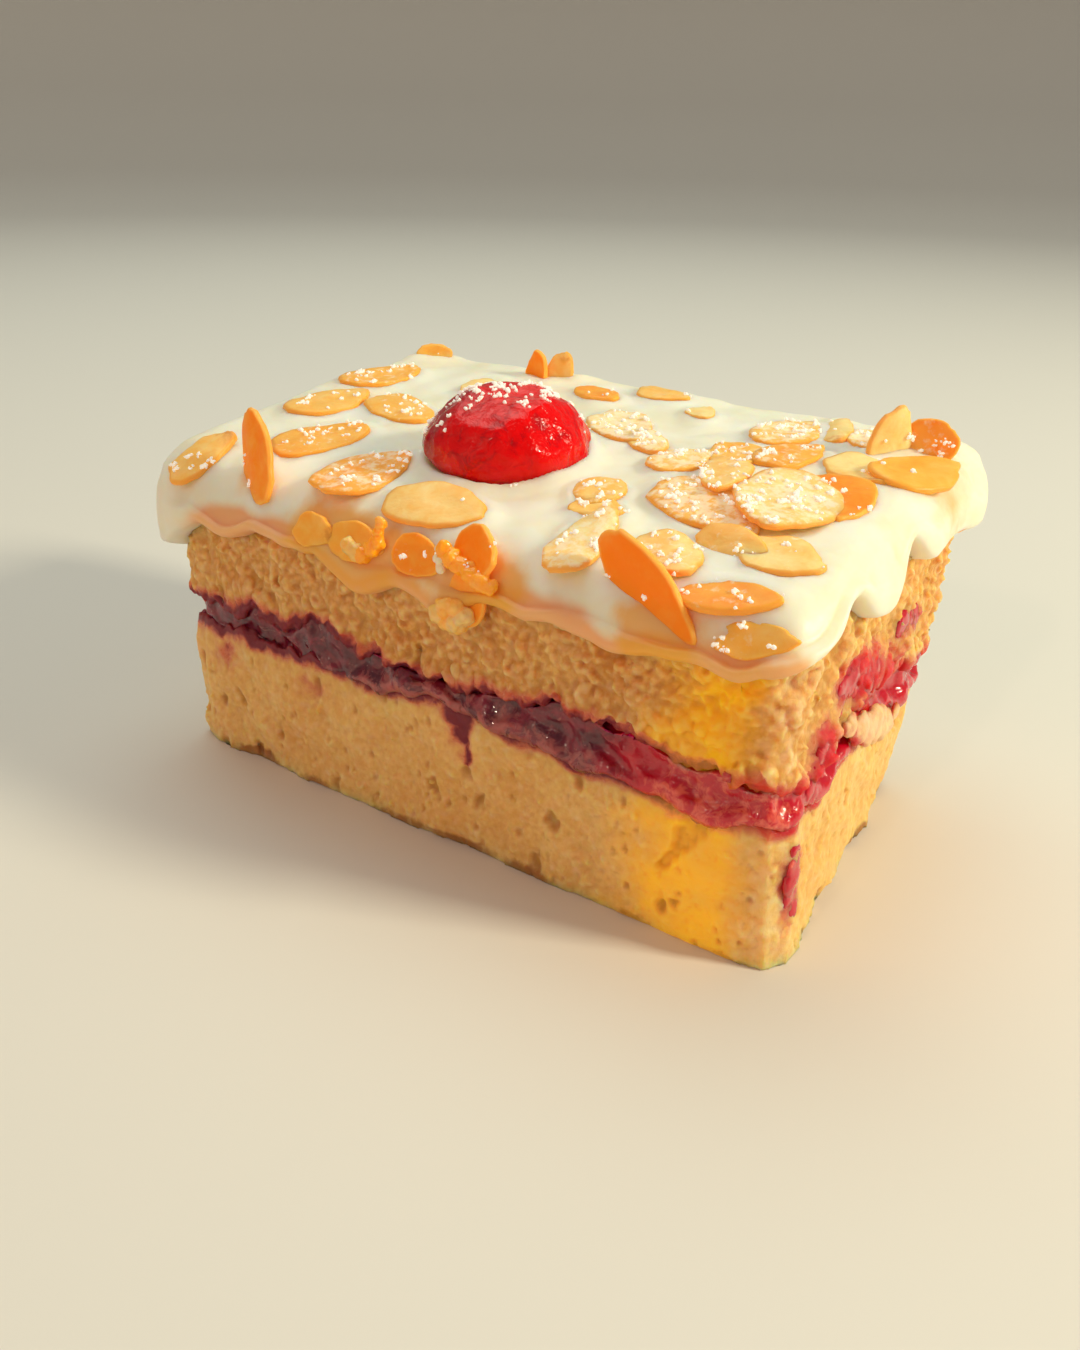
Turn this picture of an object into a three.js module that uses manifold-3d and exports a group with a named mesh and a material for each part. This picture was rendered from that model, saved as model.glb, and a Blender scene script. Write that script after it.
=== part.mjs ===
// A slice of school cake: two layers of sponge with a seam of jam between them, soft white
// icing that hangs over the sides in lobes, flaked almonds pressed into the icing, and half
// a glace cherry. Millimetres, +Z up. X runs along the slice, the long cut side looks along
// -Y, and the origin is on the underside, in the middle of the slice's box.
import * as THREE from 'three';
import Module from 'manifold-3d';
import { mergeVertices } from 'three/addons/utils/BufferGeometryUtils.js';
import { SimplexNoise } from 'three/addons/math/SimplexNoise.js';

// Plan of the sponge. The back leans outwards as it rises, and the foot of the right end
// is cut askew, so that its near corner runs out and its far corner runs in.
const LENGTH = 88;
const FRONT = -26.4;
const BACK_FOOT = 21.5;
const BACK_TOP = 26.8;
const CORNER = 4;
const ASKEW = 0.11;
const CUT_HEIGHT = 35;
const STEPS_ROUND = 80;

// Levels of the layers, and the gap that touching pieces keep
const SEAM_FLOOR = 17.4;
const SEAM_ROOF = 22.4;
const SPONGE_ROOF = 38;
const FIT = 0.3;
const WELD = 0.001;
const JOINED_WELD = 0.02;

// The torn crumb of the cut sides: how far it stands in and out, and how wide its lumps are
const CRUMB = { broad: 0.45, broadSize: 9, fine: 0.38, fineSize: 3.6 };
const JAM_LUMPS = { depth: 0.9, size: 5, height: 2 };

// Icing: how far it stands out from the sponge, its thickness, its height in the middle of
// the slice and the radius that its rim is rounded by on each side
const OVERHANG = 2.1;
const ICING_THICK = 4.6;
const CROWN = { height: 45.4, at: 10, slope: 0.06, bend: 0.0017 };
const RIM = { front: 7.5, back: 3, left: 2.2, right: 5 };
const SKIRT = { front: 34.4, side: 36.6, turnsAt: -28, turnedBy: -22 };
const BULGE = { perDrop: 0.32, least: -1.6, most: 0.4, atRim: 0.5 };
const ICING_LUMPS = { outline: 0.45, outlineSize: 11, top: 0.3, topSize: 8 };

// The cherry half: its middle, its width and its height above and below its widest level
const CHERRY = { x: -2.6, y: -7.8, widest: 44.8, radius: 10.2, dome: 7.5, foot: 3.1 };
const CHERRY_FOOT = { cutAt: -0.8, narrowing: 0.04 };
const CHERRY_LUMPS = { height: 0.035, perRadius: 1.6, start: 5 };

// Flaked almonds
const FLAKE_THICK = 1.2;
const FLAKE_TAPER = 0.22;
const FLAKE_SHOWS = 0.3;
const FLAKE_SIDES = 10;

// Rises and falls of the jam seam: where each is on the side, how high it is, and how far
// it spreads each way. They fade slowly inwards, through the cake.
const FADE = 40;
const FLOOR_WAVES = [
  { x: 4, y: -26, rise: 2.2, wideX: 9, wideY: FADE },
  { x: 36, y: -26, rise: -1.2, wideX: 5, wideY: FADE },
  { x: -12, y: 24, rise: 1.6, wideX: 10, wideY: FADE },
  { x: 44, y: -9, rise: 1.4, wideX: FADE, wideY: 5 },
  { x: 44, y: 14, rise: -1.4, wideX: FADE, wideY: 8 },
];
const ROOF_WAVES = [
  { x: -30, y: -26, rise: 1.9, wideX: 3.6, wideY: FADE },
  { x: -18, y: -26, rise: 2.3, wideX: 4.4, wideY: FADE },
  { x: 21, y: -26, rise: 2.1, wideX: 7, wideY: FADE },
  { x: 26, y: 24, rise: 1.8, wideX: 8, wideY: FADE },
  { x: 44, y: -17, rise: -2.2, wideX: FADE, wideY: 6 },
  { x: 44, y: -2, rise: 2.4, wideX: FADE, wideY: 8 },
  { x: 44, y: 22, rise: -2.2, wideX: FADE, wideY: 8 },
];

// Lobes of the icing's lower edge: a positive drop hangs lower, a negative one is a gap
const LOBES = [
  { x: -46, y: -27, drop: 6.5, wide: 7 },
  { x: -8, y: -29, drop: 3.4, wide: 6 },
  { x: 4, y: -29, drop: 3.2, wide: 4 },
  { x: 26, y: -29, drop: 1.6, wide: 6 },
  { x: 46, y: -16.5, drop: -4, wide: 2.6 },
  { x: 46, y: -8, drop: 1.2, wide: 4 },
  { x: 46, y: 0.5, drop: -4.6, wide: 3.6 },
  { x: 46, y: 15, drop: -0.8, wide: 7 },
  { x: 30, y: 29, drop: 2.4, wide: 7 },
  { x: 2, y: 29, drop: 3, wide: 6 },
  { x: -24, y: 29, drop: 1.8, wide: 8 },
  { x: -46, y: 8, drop: 2.6, wide: 6 },
];

// Almonds that lie on the icing and follow its slope: middle, direction of the long axis,
// length, width, then how far the flake is rolled and lifted
const LYING = [
  { x: -1.3, y: -22.8, turn: 4, long: 13.7, wide: 7.6 },
  { x: -14.9, y: -19.7, turn: 80, long: 13.4, wide: 10 },
  { x: -27.5, y: -14.3, turn: 64, long: 13.8, wide: 9.4 },
  { x: -39.2, y: -24, turn: 71, long: 10.5, wide: 6 },
  { x: -36.8, y: -3.2, turn: 70, long: 12.5, wide: 9.5 },
  { x: -25.5, y: -0.9, turn: -21, long: 14.5, wide: 7.5 },
  { x: -39.2, y: 10.5, turn: 75, long: 13, wide: 9.5 },
  { x: -22.2, y: 12.4, turn: -57, long: 8.6, wide: 6 },
  { x: -6.3, y: 19, turn: -20, long: 7.9, wide: 5.5 },
  { x: 1.4, y: 23.7, turn: -10, long: 8.9, wide: 5.4 },
  { x: 10.2, y: 18.2, turn: -44, long: 5.5, wide: 3.8 },
  { x: 4.4, y: 7.6, turn: -45, long: 12.5, wide: 8.2 },
  { x: 10.4, y: 4.2, turn: -40, long: 8.5, wide: 5 },
  { x: 26.2, y: -9.9, turn: -30, long: 17.2, wide: 9.8, lift: 0.2 },
  { x: 24.8, y: -3.6, turn: -70, long: 9.5, wide: 6, lift: 1.2, roll: 6 },
  { x: 33.6, y: -7.1, turn: -80, long: 15, wide: 11, lift: 1.1, roll: -6 },
  { x: 37.2, y: -1.2, turn: -66, long: 13, wide: 8.2, lift: 0.1 },
  { x: 36.2, y: 8.2, turn: -40, long: 10.5, wide: 7.2 },
  { x: 17, y: 0.6, turn: 70, long: 8.6, wide: 6.7 },
  { x: 27.3, y: 8.2, turn: 67, long: 10.3, wide: 6.7, lift: 0.2 },
  { x: 21.7, y: 5, turn: -85, long: 8.7, wide: 7 },
  { x: 23.2, y: 17, turn: 80, long: 11.4, wide: 8.2 },
  { x: 28.2, y: 20.2, turn: -67, long: 9.4, wide: 4.6, roll: 14 },
  { x: 32.8, y: 19.2, turn: -50, long: 8.1, wide: 5.4 },
  { x: 41.8, y: 10.8, turn: 66, long: 12.5, wide: 8.4, lift: 0.2 },
  { x: 36.6, y: -24.6, turn: 12, long: 10.2, wide: 4.8, roll: -20 },
  { x: 38.2, y: -17.1, turn: -10, long: 9.3, wide: 7.2 },
  { x: 32.8, y: -17.3, turn: -8, long: 8.6, wide: 4.2, roll: 26, lift: 0.3 },
  { x: 28, y: -21.6, turn: -30, long: 8.8, wide: 7 },
  { x: 18.2, y: -22.4, turn: 88, long: 11.9, wide: 5.9 },
  { x: 13.4, y: -12.2, turn: -72, long: 7.2, wide: 6.3 },
  { x: 15.9, y: -15.9, turn: 3, long: 6.6, wide: 5, lift: -0.1 },
  { x: 0.1, y: -27.4, turn: -4, long: 7.8, wide: 4.6 },
  { x: 41, y: -26.8, turn: 13, long: 11, wide: 4.8, lift: -0.2 },
  { x: -15.8, y: -27.6, turn: -2, long: 6.2, wide: 4 },
  { x: -9, y: -27.6, turn: 1, long: 8.6, wide: 4.6 },
];

// Almonds that stand in the icing or stick out of it: middle, direction of the long axis,
// how far that axis is pitched up, how far the flake is rolled about it, length and width
const STANDING = [
  { x: -28.4, y: -24.7, z: 42.9, turn: 142, pitch: 54.6, roll: -65, long: 12.6, wide: 6.6 },
  { x: 28.4, y: -26.4, z: 40.2, turn: -12, pitch: -30, roll: 90, long: 15, wide: 6.2 },
  { x: 8, y: -27.4, z: 39.2, turn: -15, pitch: 0, roll: 68, long: 6.8, wide: 6.2 },
  { x: 7.4, y: -28.4, z: 34.8, turn: 0, pitch: 82, roll: 92, long: 8, wide: 5 },
  { x: -20.2, y: 23.6, z: 47, turn: -10, pitch: 80, roll: 90, long: 6.6, wide: 4.2 },
  { x: -16.9, y: 25, z: 47.2, turn: 20, pitch: 75, roll: 80, long: 6.6, wide: 4.2 },
  { x: 36.4, y: 16.6, z: 47.4, turn: 60, pitch: 75, roll: 80, long: 8.4, wide: 5.4 },
  { x: 40.2, y: 18.9, z: 47, turn: 10, pitch: 20, roll: 70, long: 8, wide: 6.4 },
  { x: -41, y: 25, z: 46.2, turn: 30, pitch: 10, roll: 50, long: 6, wide: 5 },
  { x: 44.4, y: 17.6, z: 38.4, turn: 40, pitch: 0, roll: 0, long: 5, wide: 4.4 },
];

const COLOURS = {
  sponge_bottom: { color: 0xe9b76c, roughness: 0.9 },
  jam_layer: { color: 0x8e2530, roughness: 0.3 },
  sponge_top: { color: 0xe3ad62, roughness: 0.9 },
  icing: { color: 0xf6efd6, roughness: 0.45 },
  cherry_half: { color: 0xd20f12, roughness: 0.15 },
};

const wasm = await Module();
wasm.setup();

const SEED = 20;
const noise = new SimplexNoise({ random: seededRandom(SEED) });
const plan = planOfSlice();

function seededRandom(seed) {
  let state = seed;
  return () => {
    state = (state * 16807) % 2147483647;
    return state / 2147483647;
  };
}

function mix(low, high, share) {
  return low + (high - low) * share;
}

// Points and outward directions round the slice, counterclockwise from above
function planOfSlice() {
  const halfX = LENGTH / 2;
  const halfY = (BACK_TOP - FRONT) / 2;
  const middleY = FRONT + halfY;
  const inX = halfX - CORNER;
  const inY = halfY - CORNER;
  const outline = new THREE.Shape();
  outline.moveTo(-inX, -halfY);
  outline.lineTo(inX, -halfY);
  outline.absarc(inX, -inY, CORNER, -Math.PI / 2, 0);
  outline.absarc(inX, inY, CORNER, 0, Math.PI / 2);
  outline.absarc(-inX, inY, CORNER, Math.PI / 2, Math.PI);
  outline.absarc(-inX, -inY, CORNER, Math.PI, Math.PI * 1.5);
  const points = outline.getSpacedPoints(STEPS_ROUND).slice(0, STEPS_ROUND);
  return points.map((point, step) => {
    const before = points[(step + STEPS_ROUND - 1) % STEPS_ROUND];
    const after = points[(step + 1) % STEPS_ROUND];
    const along = after.clone().sub(before).normalize();
    return { x: point.x, y: point.y + middleY, outX: along.y, outY: -along.x };
  });
}

// A point of the cut side at a height, moved out by so many millimetres
function sidePoint(step, height, out) {
  const point = plan[step];
  const rise = Math.min(height / CUT_HEIGHT, 1);
  const back = mix(BACK_FOOT, BACK_TOP, rise);
  const y = mix(FRONT, back, (point.y - FRONT) / (BACK_TOP - FRONT));
  const skew = -ASKEW * y * (1 - rise) * Math.max(point.x / (LENGTH / 2), 0);
  return { x: point.x + skew + point.outX * out, y: y + point.outY * out };
}

// How far the torn crumb stands out at a place on the side
function crumb(step, height) {
  const { x, y } = plan[step];
  const at = (size) => noise.noise3d(x / size, y / size, height / size);
  return CRUMB.broad * at(CRUMB.broadSize) + CRUMB.fine * at(CRUMB.fineSize);
}

function swell(x, y, { x: atX, y: atY, wideX, wideY }) {
  return Math.exp(-(((x - atX) / wideX) ** 2) - ((y - atY) / wideY) ** 2);
}

function seamFloor(x, y) {
  return FLOOR_WAVES.reduce((z, wave) => z + wave.rise * swell(x, y, wave), SEAM_FLOOR);
}

function seamRoof(x, y) {
  return ROOF_WAVES.reduce((z, wave) => z + wave.rise * swell(x, y, wave), SEAM_ROOF);
}

function spongeRoof(x, y) {
  return icingCrown(y) - ICING_THICK;
}

function lobeDrop(x, y) {
  return LOBES.reduce((sum, { x: atX, y: atY, drop, wide }) => (
    sum + drop * swell(x, y, { x: atX, y: atY, wideX: wide, wideY: wide })), 0);
}

// Height of the icing's lower edge, which is higher round the ends and the back
function skirtEdge(x, y) {
  const share = THREE.MathUtils.smoothstep(y, SKIRT.turnsAt, SKIRT.turnedBy);
  return mix(SKIRT.front, SKIRT.side, share) - lobeDrop(x, y);
}

// How far a lobe stands out from the skirt, or a gap is drawn in
function lobeBulge({ x, y }) {
  return THREE.MathUtils.clamp(BULGE.perDrop * lobeDrop(x, y), BULGE.least, BULGE.most);
}

function icingCrown(y) {
  const forward = CROWN.at - y;
  const bend = forward > 0 ? CROWN.bend * forward ** 2 : 0;
  return CROWN.height - CROWN.slope * forward - bend;
}

// The icing's upper surface, with its rim rounded down by a different radius on each side
function icingTop(x, y) {
  const sides = [
    { far: y - FRONT + OVERHANG, radius: RIM.front },
    { far: BACK_TOP + OVERHANG - y, radius: RIM.back },
    { far: x + LENGTH / 2 + OVERHANG, radius: RIM.left },
    { far: LENGTH / 2 + OVERHANG - x, radius: RIM.right },
  ];
  const near = sides.map(({ far, radius }) => Math.max(0, 1 - far / radius) ** 2);
  const all = near[0] + near[1] + near[2] + near[3];
  if (all === 0) return icingCrown(y);
  const radius = sides.reduce((sum, side, i) => sum + side.radius * near[i], 0) / all;
  return icingCrown(y) - radius * (1 - Math.sqrt(Math.max(0, 1 - all)));
}

function icingSlope(x, y) {
  const step = 0.4;
  const alongX = icingTop(x + step, y) - icingTop(x - step, y);
  const alongY = icingTop(x, y + step) - icingTop(x, y - step);
  return new THREE.Vector3(-alongX, -alongY, 2 * step).normalize();
}

// A closed body made of rings round the slice. It starts as a ball, from its upper pole to
// its lower one, and place(row, step) gives each ring's points.
function ringBody(rows, place) {
  const geometry = new THREE.SphereGeometry(1, STEPS_ROUND, rows.length - 1);
  const position = geometry.attributes.position;
  rows.forEach((row, ring) => {
    for (let step = 0; step <= STEPS_ROUND; step += 1) {
      const point = place(row, step % STEPS_ROUND);
      position.setXYZ(ring * (STEPS_ROUND + 1) + step, point.x, point.y, point.z);
    }
  });
  return geometry;
}

// The ball's patches are each split into two triangles on one diagonal. Those of a floor
// take the other diagonal, so that it is folded just like the roof that it lies on.
function foldFloorLikeRoof(geometry, rows) {
  const corners = geometry.index.array;
  const firstRing = rows.length - 1 - CAP_REACH.length;
  for (let ring = firstRing; ring < rows.length - 2; ring += 1) {
    for (let step = 0; step < STEPS_ROUND; step += 1) {
      const patch = 3 * STEPS_ROUND + ((ring - 1) * STEPS_ROUND + step) * 6;
      corners[patch + 2] = corners[patch + 4];
      corners[patch + 3] = corners[patch];
    }
  }
}

// One layer between two surfaces. Each row gives its share of the way out to the side and
// its share of the way up.
function layer({ rows, floor, roof, low, high, grow = 0, rough = crumb }) {
  const geometry = ringBody(rows, ({ reach, level }, step) => {
    const height = mix(low, high, level);
    const side = sidePoint(step, height, rough(step, height) + grow);
    const x = side.x * reach;
    const y = side.y * reach;
    return { x, y, z: mix(floor(x, y), roof(x, y), level) };
  });
  foldFloorLikeRoof(geometry, rows);
  return toSolid(geometry);
}

// Rows of a layer: its roof from the middle outwards, its side at the given levels from
// above, and its floor back to the middle
const CAP_REACH = [0, 0.5, 0.84];

function layerRows(levels) {
  const roof = CAP_REACH.map((reach) => ({ reach, level: levels[0] }));
  const floor = CAP_REACH.map((reach) => ({ reach, level: levels.at(-1) }));
  return [...roof, ...levels.map((level) => ({ reach: 1, level })), ...floor.reverse()];
}

function spongeBottom() {
  const levels = [1, 0.83, 0.66, 0.49, 0.32, 0.12, 0];
  return layer({
    rows: layerRows(levels),
    floor: () => 0,
    roof: (x, y) => seamFloor(x, y) - FIT / 2,
    low: 0,
    high: SEAM_FLOOR,
  });
}

function jamSeam(step, height) {
  const { x, y } = plan[step];
  const { depth, size, height: tall } = JAM_LUMPS;
  const inside = Math.sin(Math.PI * (height - SEAM_FLOOR) / (SEAM_ROOF - SEAM_FLOOR));
  return crumb(step, height) + depth * inside * noise.noise3d(x / size, y / size, height / tall);
}

function jamLayer() {
  return layer({
    rows: layerRows([1, 0.67, 0.33, 0]),
    floor: (x, y) => seamFloor(x, y) + FIT / 2,
    roof: (x, y) => seamRoof(x, y) - FIT / 2,
    low: SEAM_FLOOR,
    high: SEAM_ROOF,
    rough: jamSeam,
  });
}

const TOP_SPONGE = { low: SEAM_ROOF, high: SPONGE_ROOF, levels: [1, 0.8, 0.6, 0.4, 0.2, 0] };

function spongeTop() {
  return layer({
    ...TOP_SPONGE,
    rows: layerRows(TOP_SPONGE.levels),
    floor: (x, y) => seamRoof(x, y) + FIT / 2,
    roof: spongeRoof,
  });
}

// The room that the sponge takes out of the icing, with the gap round it
function spongeRoom() {
  const { low, high, levels } = TOP_SPONGE;
  return layer({
    low,
    high,
    rows: layerRows(levels.slice(0, -1)),
    floor: (x, y) => seamRoof(x, y) + FIT / 2,
    roof: (x, y) => spongeRoof(x, y) + FIT,
    grow: FIT,
  });
}

// The icing as a full pillow: its top, its rounded rim, its hanging skirt and the underside.
// An inset is in from the outline, and a hang is the share of the way down the skirt.
const LAST_INSET = 0.4;

function icingPillow() {
  const top = [{ reach: 0 }, { reach: 0.42 }, { reach: 0.7 }];
  const rim = [7.5, 4.6, 2.6, 1.2, LAST_INSET].map((inset) => ({ inset }));
  const skirt = [{ hang: 0.5 }, { hang: 0.9 }, { hang: 1, inset: 0.8 }];
  const under = [{ hang: 0.95, inset: 3.5 }, { hang: 0, reach: 0, under: true }];
  const pillow = ringBody([...top, ...rim, ...skirt, ...under], (row, step) => {
    const { outline, outlineSize, top: lump, topSize } = ICING_LUMPS;
    const { x: planX, y: planY } = plan[step];
    const uneven = outline * noise.noise3d(planX / outlineSize, planY / outlineSize, 0);
    const bulge = lobeBulge(sidePoint(step, CUT_HEIGHT, OVERHANG));
    const swollen = uneven + bulge * (row.hang === undefined ? BULGE.atRim : 1);
    const side = sidePoint(step, CUT_HEIGHT, OVERHANG + swollen - (row.inset ?? 0));
    const x = side.x * (row.reach ?? 1);
    const y = side.y * (row.reach ?? 1);
    if (row.under) return { x, y, z: SKIRT.front };
    const lumps = lump * noise.noise3d(x / topSize, y / topSize, 0);
    if (row.hang === undefined) return { x, y, z: icingTop(x, y) + lumps };
    const brow = sidePoint(step, CUT_HEIGHT, OVERHANG - LAST_INSET);
    return { x, y, z: mix(icingTop(brow.x, brow.y), skirtEdge(x, y), row.hang) };
  });
  return toSolid(pillow);
}

function flakeBody({ long, wide }, placing) {
  const geometry = new THREE.CylinderGeometry(1, 1, FLAKE_THICK, FLAKE_SIDES, 1);
  geometry.rotateX(Math.PI / 2);
  const position = geometry.attributes.position;
  for (let i = 0; i < position.count; i += 1) {
    const x = position.getX(i);
    const taper = 1 - FLAKE_TAPER * x;
    position.setX(i, x * long / 2);
    position.setY(i, position.getY(i) * taper * wide / 2);
  }
  return toSolid(geometry.applyMatrix4(placing));
}

function turned({ turn, pitch = 0, roll = 0 }) {
  const degrees = THREE.MathUtils.degToRad;
  const angles = new THREE.Euler(degrees(roll), -degrees(pitch), degrees(turn), 'ZYX');
  return new THREE.Quaternion().setFromEuler(angles);
}

function lyingFlake(flake) {
  const slope = icingSlope(flake.x, flake.y);
  const upright = new THREE.Vector3(0, 0, 1);
  const tilt = new THREE.Quaternion().setFromUnitVectors(upright, slope);
  const middle = new THREE.Vector3(flake.x, flake.y, icingTop(flake.x, flake.y));
  middle.addScaledVector(slope, FLAKE_SHOWS + (flake.lift ?? 0));
  const turning = tilt.multiply(turned(flake));
  const placing = new THREE.Matrix4().compose(middle, turning, new THREE.Vector3(1, 1, 1));
  return flakeBody(flake, placing);
}

function standingFlake(flake) {
  const middle = new THREE.Vector3(flake.x, flake.y, flake.z);
  const placing = new THREE.Matrix4().compose(middle, turned(flake), new THREE.Vector3(1, 1, 1));
  return flakeBody(flake, placing);
}

// Half a cherry with a lumpy skin. Below its widest level it draws in to a flat foot.
function cherryHalf(grow = 0) {
  const geometry = new THREE.SphereGeometry(1, 22, 12);
  geometry.rotateX(Math.PI / 2);
  const position = geometry.attributes.position;
  for (let i = 0; i < position.count; i += 1) {
    const point = new THREE.Vector3().fromBufferAttribute(position, i);
    const { height, perRadius, start } = CHERRY_LUMPS;
    const place = point.clone().multiplyScalar(perRadius).addScalar(start);
    const lump = 1 + height * noise.noise3d(place.x, place.y, place.z);
    const { cutAt, narrowing } = CHERRY_FOOT;
    const above = point.z > 0;
    const across = (CHERRY.radius * lump + grow) * (above ? 1 : 1 + narrowing * point.z);
    const rise = above ? point.z : Math.max(point.z / -cutAt, -1);
    const z = CHERRY.widest + rise * ((above ? CHERRY.dome : CHERRY.foot) * lump + grow);
    position.setXYZ(i, CHERRY.x + point.x * across, CHERRY.y + point.y * across, z);
  }
  return toSolid(geometry);
}

function icingWithAlmonds() {
  const flakes = [...LYING.map(lyingFlake), ...STANDING.map(standingFlake)];
  const topped = flakes.reduce((body, flake) => body.add(flake), icingPillow());
  const shell = topped.subtract(spongeRoom()).subtract(cherryHalf(FIT));
  const [largest] = shell.decompose().sort((a, b) => b.volume() - a.volume());
  return toSolid(toGeometry(largest), JOINED_WELD);
}

// Closed surface with shared corners, for joining and cutting. Corners closer than the weld
// become one.
function toSolid(geometry, weld = WELD) {
  geometry.deleteAttribute('normal');
  geometry.deleteAttribute('uv');
  const merged = mergeVertices(geometry, weld);
  const corners = merged.index.array;
  const triVerts = [];
  for (let i = 0; i < corners.length; i += 3) {
    const [a, b, c] = corners.slice(i, i + 3);
    if (a !== b && b !== c && c !== a) triVerts.push(a, b, c);
  }
  const vertProperties = new Float32Array(merged.attributes.position.array);
  const mesh = new wasm.Mesh({ numProp: 3, vertProperties, triVerts: new Uint32Array(triVerts) });
  return new wasm.Manifold(mesh);
}

function toGeometry(solid) {
  const { numProp, vertProperties, triVerts } = solid.getMesh();
  const geometry = new THREE.BufferGeometry();
  geometry.setAttribute('position', new THREE.BufferAttribute(vertProperties, numProp));
  geometry.setIndex(new THREE.BufferAttribute(triVerts, 1));
  return geometry;
}

function toMesh(name, solid) {
  const geometry = toGeometry(solid);
  geometry.computeVertexNormals();
  const mesh = new THREE.Mesh(geometry, new THREE.MeshStandardMaterial(COLOURS[name]));
  mesh.name = name;
  return mesh;
}

const slice = new THREE.Group();
slice.add(toMesh('sponge_bottom', spongeBottom()));
slice.add(toMesh('jam_layer', jamLayer()));
slice.add(toMesh('sponge_top', spongeTop()));
slice.add(toMesh('icing', icingWithAlmonds()));
slice.add(toMesh('cherry_half', cherryHalf()));

export default slice;
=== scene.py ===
"""A slice of school cake: two layers of sponge with jam between them, soft white icing that
hangs over the sides in lobes, flaked almonds, half a glace cherry and a dusting of sugar.

Every piece is modelled in millimetres and turned to metres when it is finished. X runs along
the slice, the long cut side looks along -Y, and the slice stands on Z = 0."""
import math
import random

import bmesh
import bpy
import numpy
from mathutils import Euler, Matrix, Vector, noise
from mathutils.bvhtree import BVHTree


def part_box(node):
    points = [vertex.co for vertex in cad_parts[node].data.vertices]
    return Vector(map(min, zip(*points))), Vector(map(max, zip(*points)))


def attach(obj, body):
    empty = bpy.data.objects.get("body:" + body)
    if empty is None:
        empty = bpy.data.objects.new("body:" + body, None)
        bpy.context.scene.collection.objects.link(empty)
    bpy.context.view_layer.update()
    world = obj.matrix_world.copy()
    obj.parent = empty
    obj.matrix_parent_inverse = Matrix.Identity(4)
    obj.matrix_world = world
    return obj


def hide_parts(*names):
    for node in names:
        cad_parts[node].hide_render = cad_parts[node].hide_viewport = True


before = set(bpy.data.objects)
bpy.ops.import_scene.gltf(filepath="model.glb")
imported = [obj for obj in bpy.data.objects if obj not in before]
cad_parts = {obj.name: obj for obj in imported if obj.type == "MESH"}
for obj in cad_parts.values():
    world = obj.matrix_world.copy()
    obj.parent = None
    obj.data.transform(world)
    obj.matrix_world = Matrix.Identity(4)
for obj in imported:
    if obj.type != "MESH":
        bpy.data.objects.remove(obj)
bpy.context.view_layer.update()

MM = 0.001
DRAW = random.Random(20)
noise.seed_set(20)  # without a seed, drift() would differ from run to run

# ---------------------------------------------------------------- shape of the slice, in mm

LENGTH = 88
FRONT = -26.4
BACK_FOOT = 21.5
BACK_TOP = 26.8
CORNER = 4
CUT_HEIGHT = 35

OVERHANG = 2.1
ICING_THICK = 4.6
# The icing's upper surface: its height at one y, its slope, and its bend in front of that
CROWN = {"height": 45.4, "at": 10, "slope": 0.06, "bend": 0.0017}
# The radius that rounds it at each rim
RIM = {"front": 7.5, "back": 3, "left": 2.2, "right": 5}
# The height of its lower edge in front and on the other sides, and the y where that changes
SKIRT = {"front": 34.4, "side": 36.6, "turns": (-28, -22)}

# Lobes of the icing's lower edge: x, y, how far it drops and how wide it is. Where the drop is
# below 0, it is a notch between two lobes.
LOBES = [
    (-46, -27, 6.5, 7), (-8, -29, 3.4, 6), (4, -29, 3.2, 4), (26, -29, 1.6, 6),
    (46, -16.5, -4, 3.1), (46, -8, 1.2, 4), (46, 0.5, -4.6, 3.6), (46, 15, -0.8, 7),
    (30, 29, 2.4, 7), (2, 29, 3, 6), (-24, 29, 1.8, 8), (-46, 8, 2.6, 6),
]


def mix(low, high, share):
    return low + (high - low) * share


def smooth_step(value, low, high):
    share = min(1, max(0, (value - low) / (high - low)))
    return share * share * (3 - 2 * share)


def swell(x, y, at_x, at_y, wide):
    return math.exp(-(((x - at_x) / wide) ** 2) - ((y - at_y) / wide) ** 2)


def lobe_drop(x, y):
    return sum(drop * swell(x, y, at_x, at_y, wide) for at_x, at_y, drop, wide in LOBES)


def icing_edge(x, y):
    """Height of the icing's lower edge."""
    share = smooth_step(y, *SKIRT["turns"])
    return mix(SKIRT["front"], SKIRT["side"], share) - lobe_drop(x, y)


def icing_crown(y):
    forward = CROWN["at"] - y
    bend = CROWN["bend"] * forward ** 2 if forward > 0 else 0
    return CROWN["height"] - CROWN["slope"] * forward - bend


def icing_top(x, y):
    """Height of the icing's upper surface, rounded down at the rim."""
    sides = [
        (y - FRONT + OVERHANG, RIM["front"]),
        (BACK_TOP + OVERHANG - y, RIM["back"]),
        (x + LENGTH / 2 + OVERHANG, RIM["left"]),
        (LENGTH / 2 + OVERHANG - x, RIM["right"]),
    ]
    near = [max(0, 1 - far / radius) ** 2 for far, radius in sides]
    total = sum(near)
    if total == 0:
        return icing_crown(y)
    radius = sum(radius * share for (_, radius), share in zip(sides, near)) / total
    return icing_crown(y) - radius * (1 - math.sqrt(max(0, 1 - total)))


def icing_slope(x, y, step=0.4):
    """The way straight out of the icing's upper surface."""
    along_x = icing_top(x + step, y) - icing_top(x - step, y)
    along_y = icing_top(x, y + step) - icing_top(x, y - step)
    return Vector((-along_x, -along_y, 2 * step)).normalized()


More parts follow.
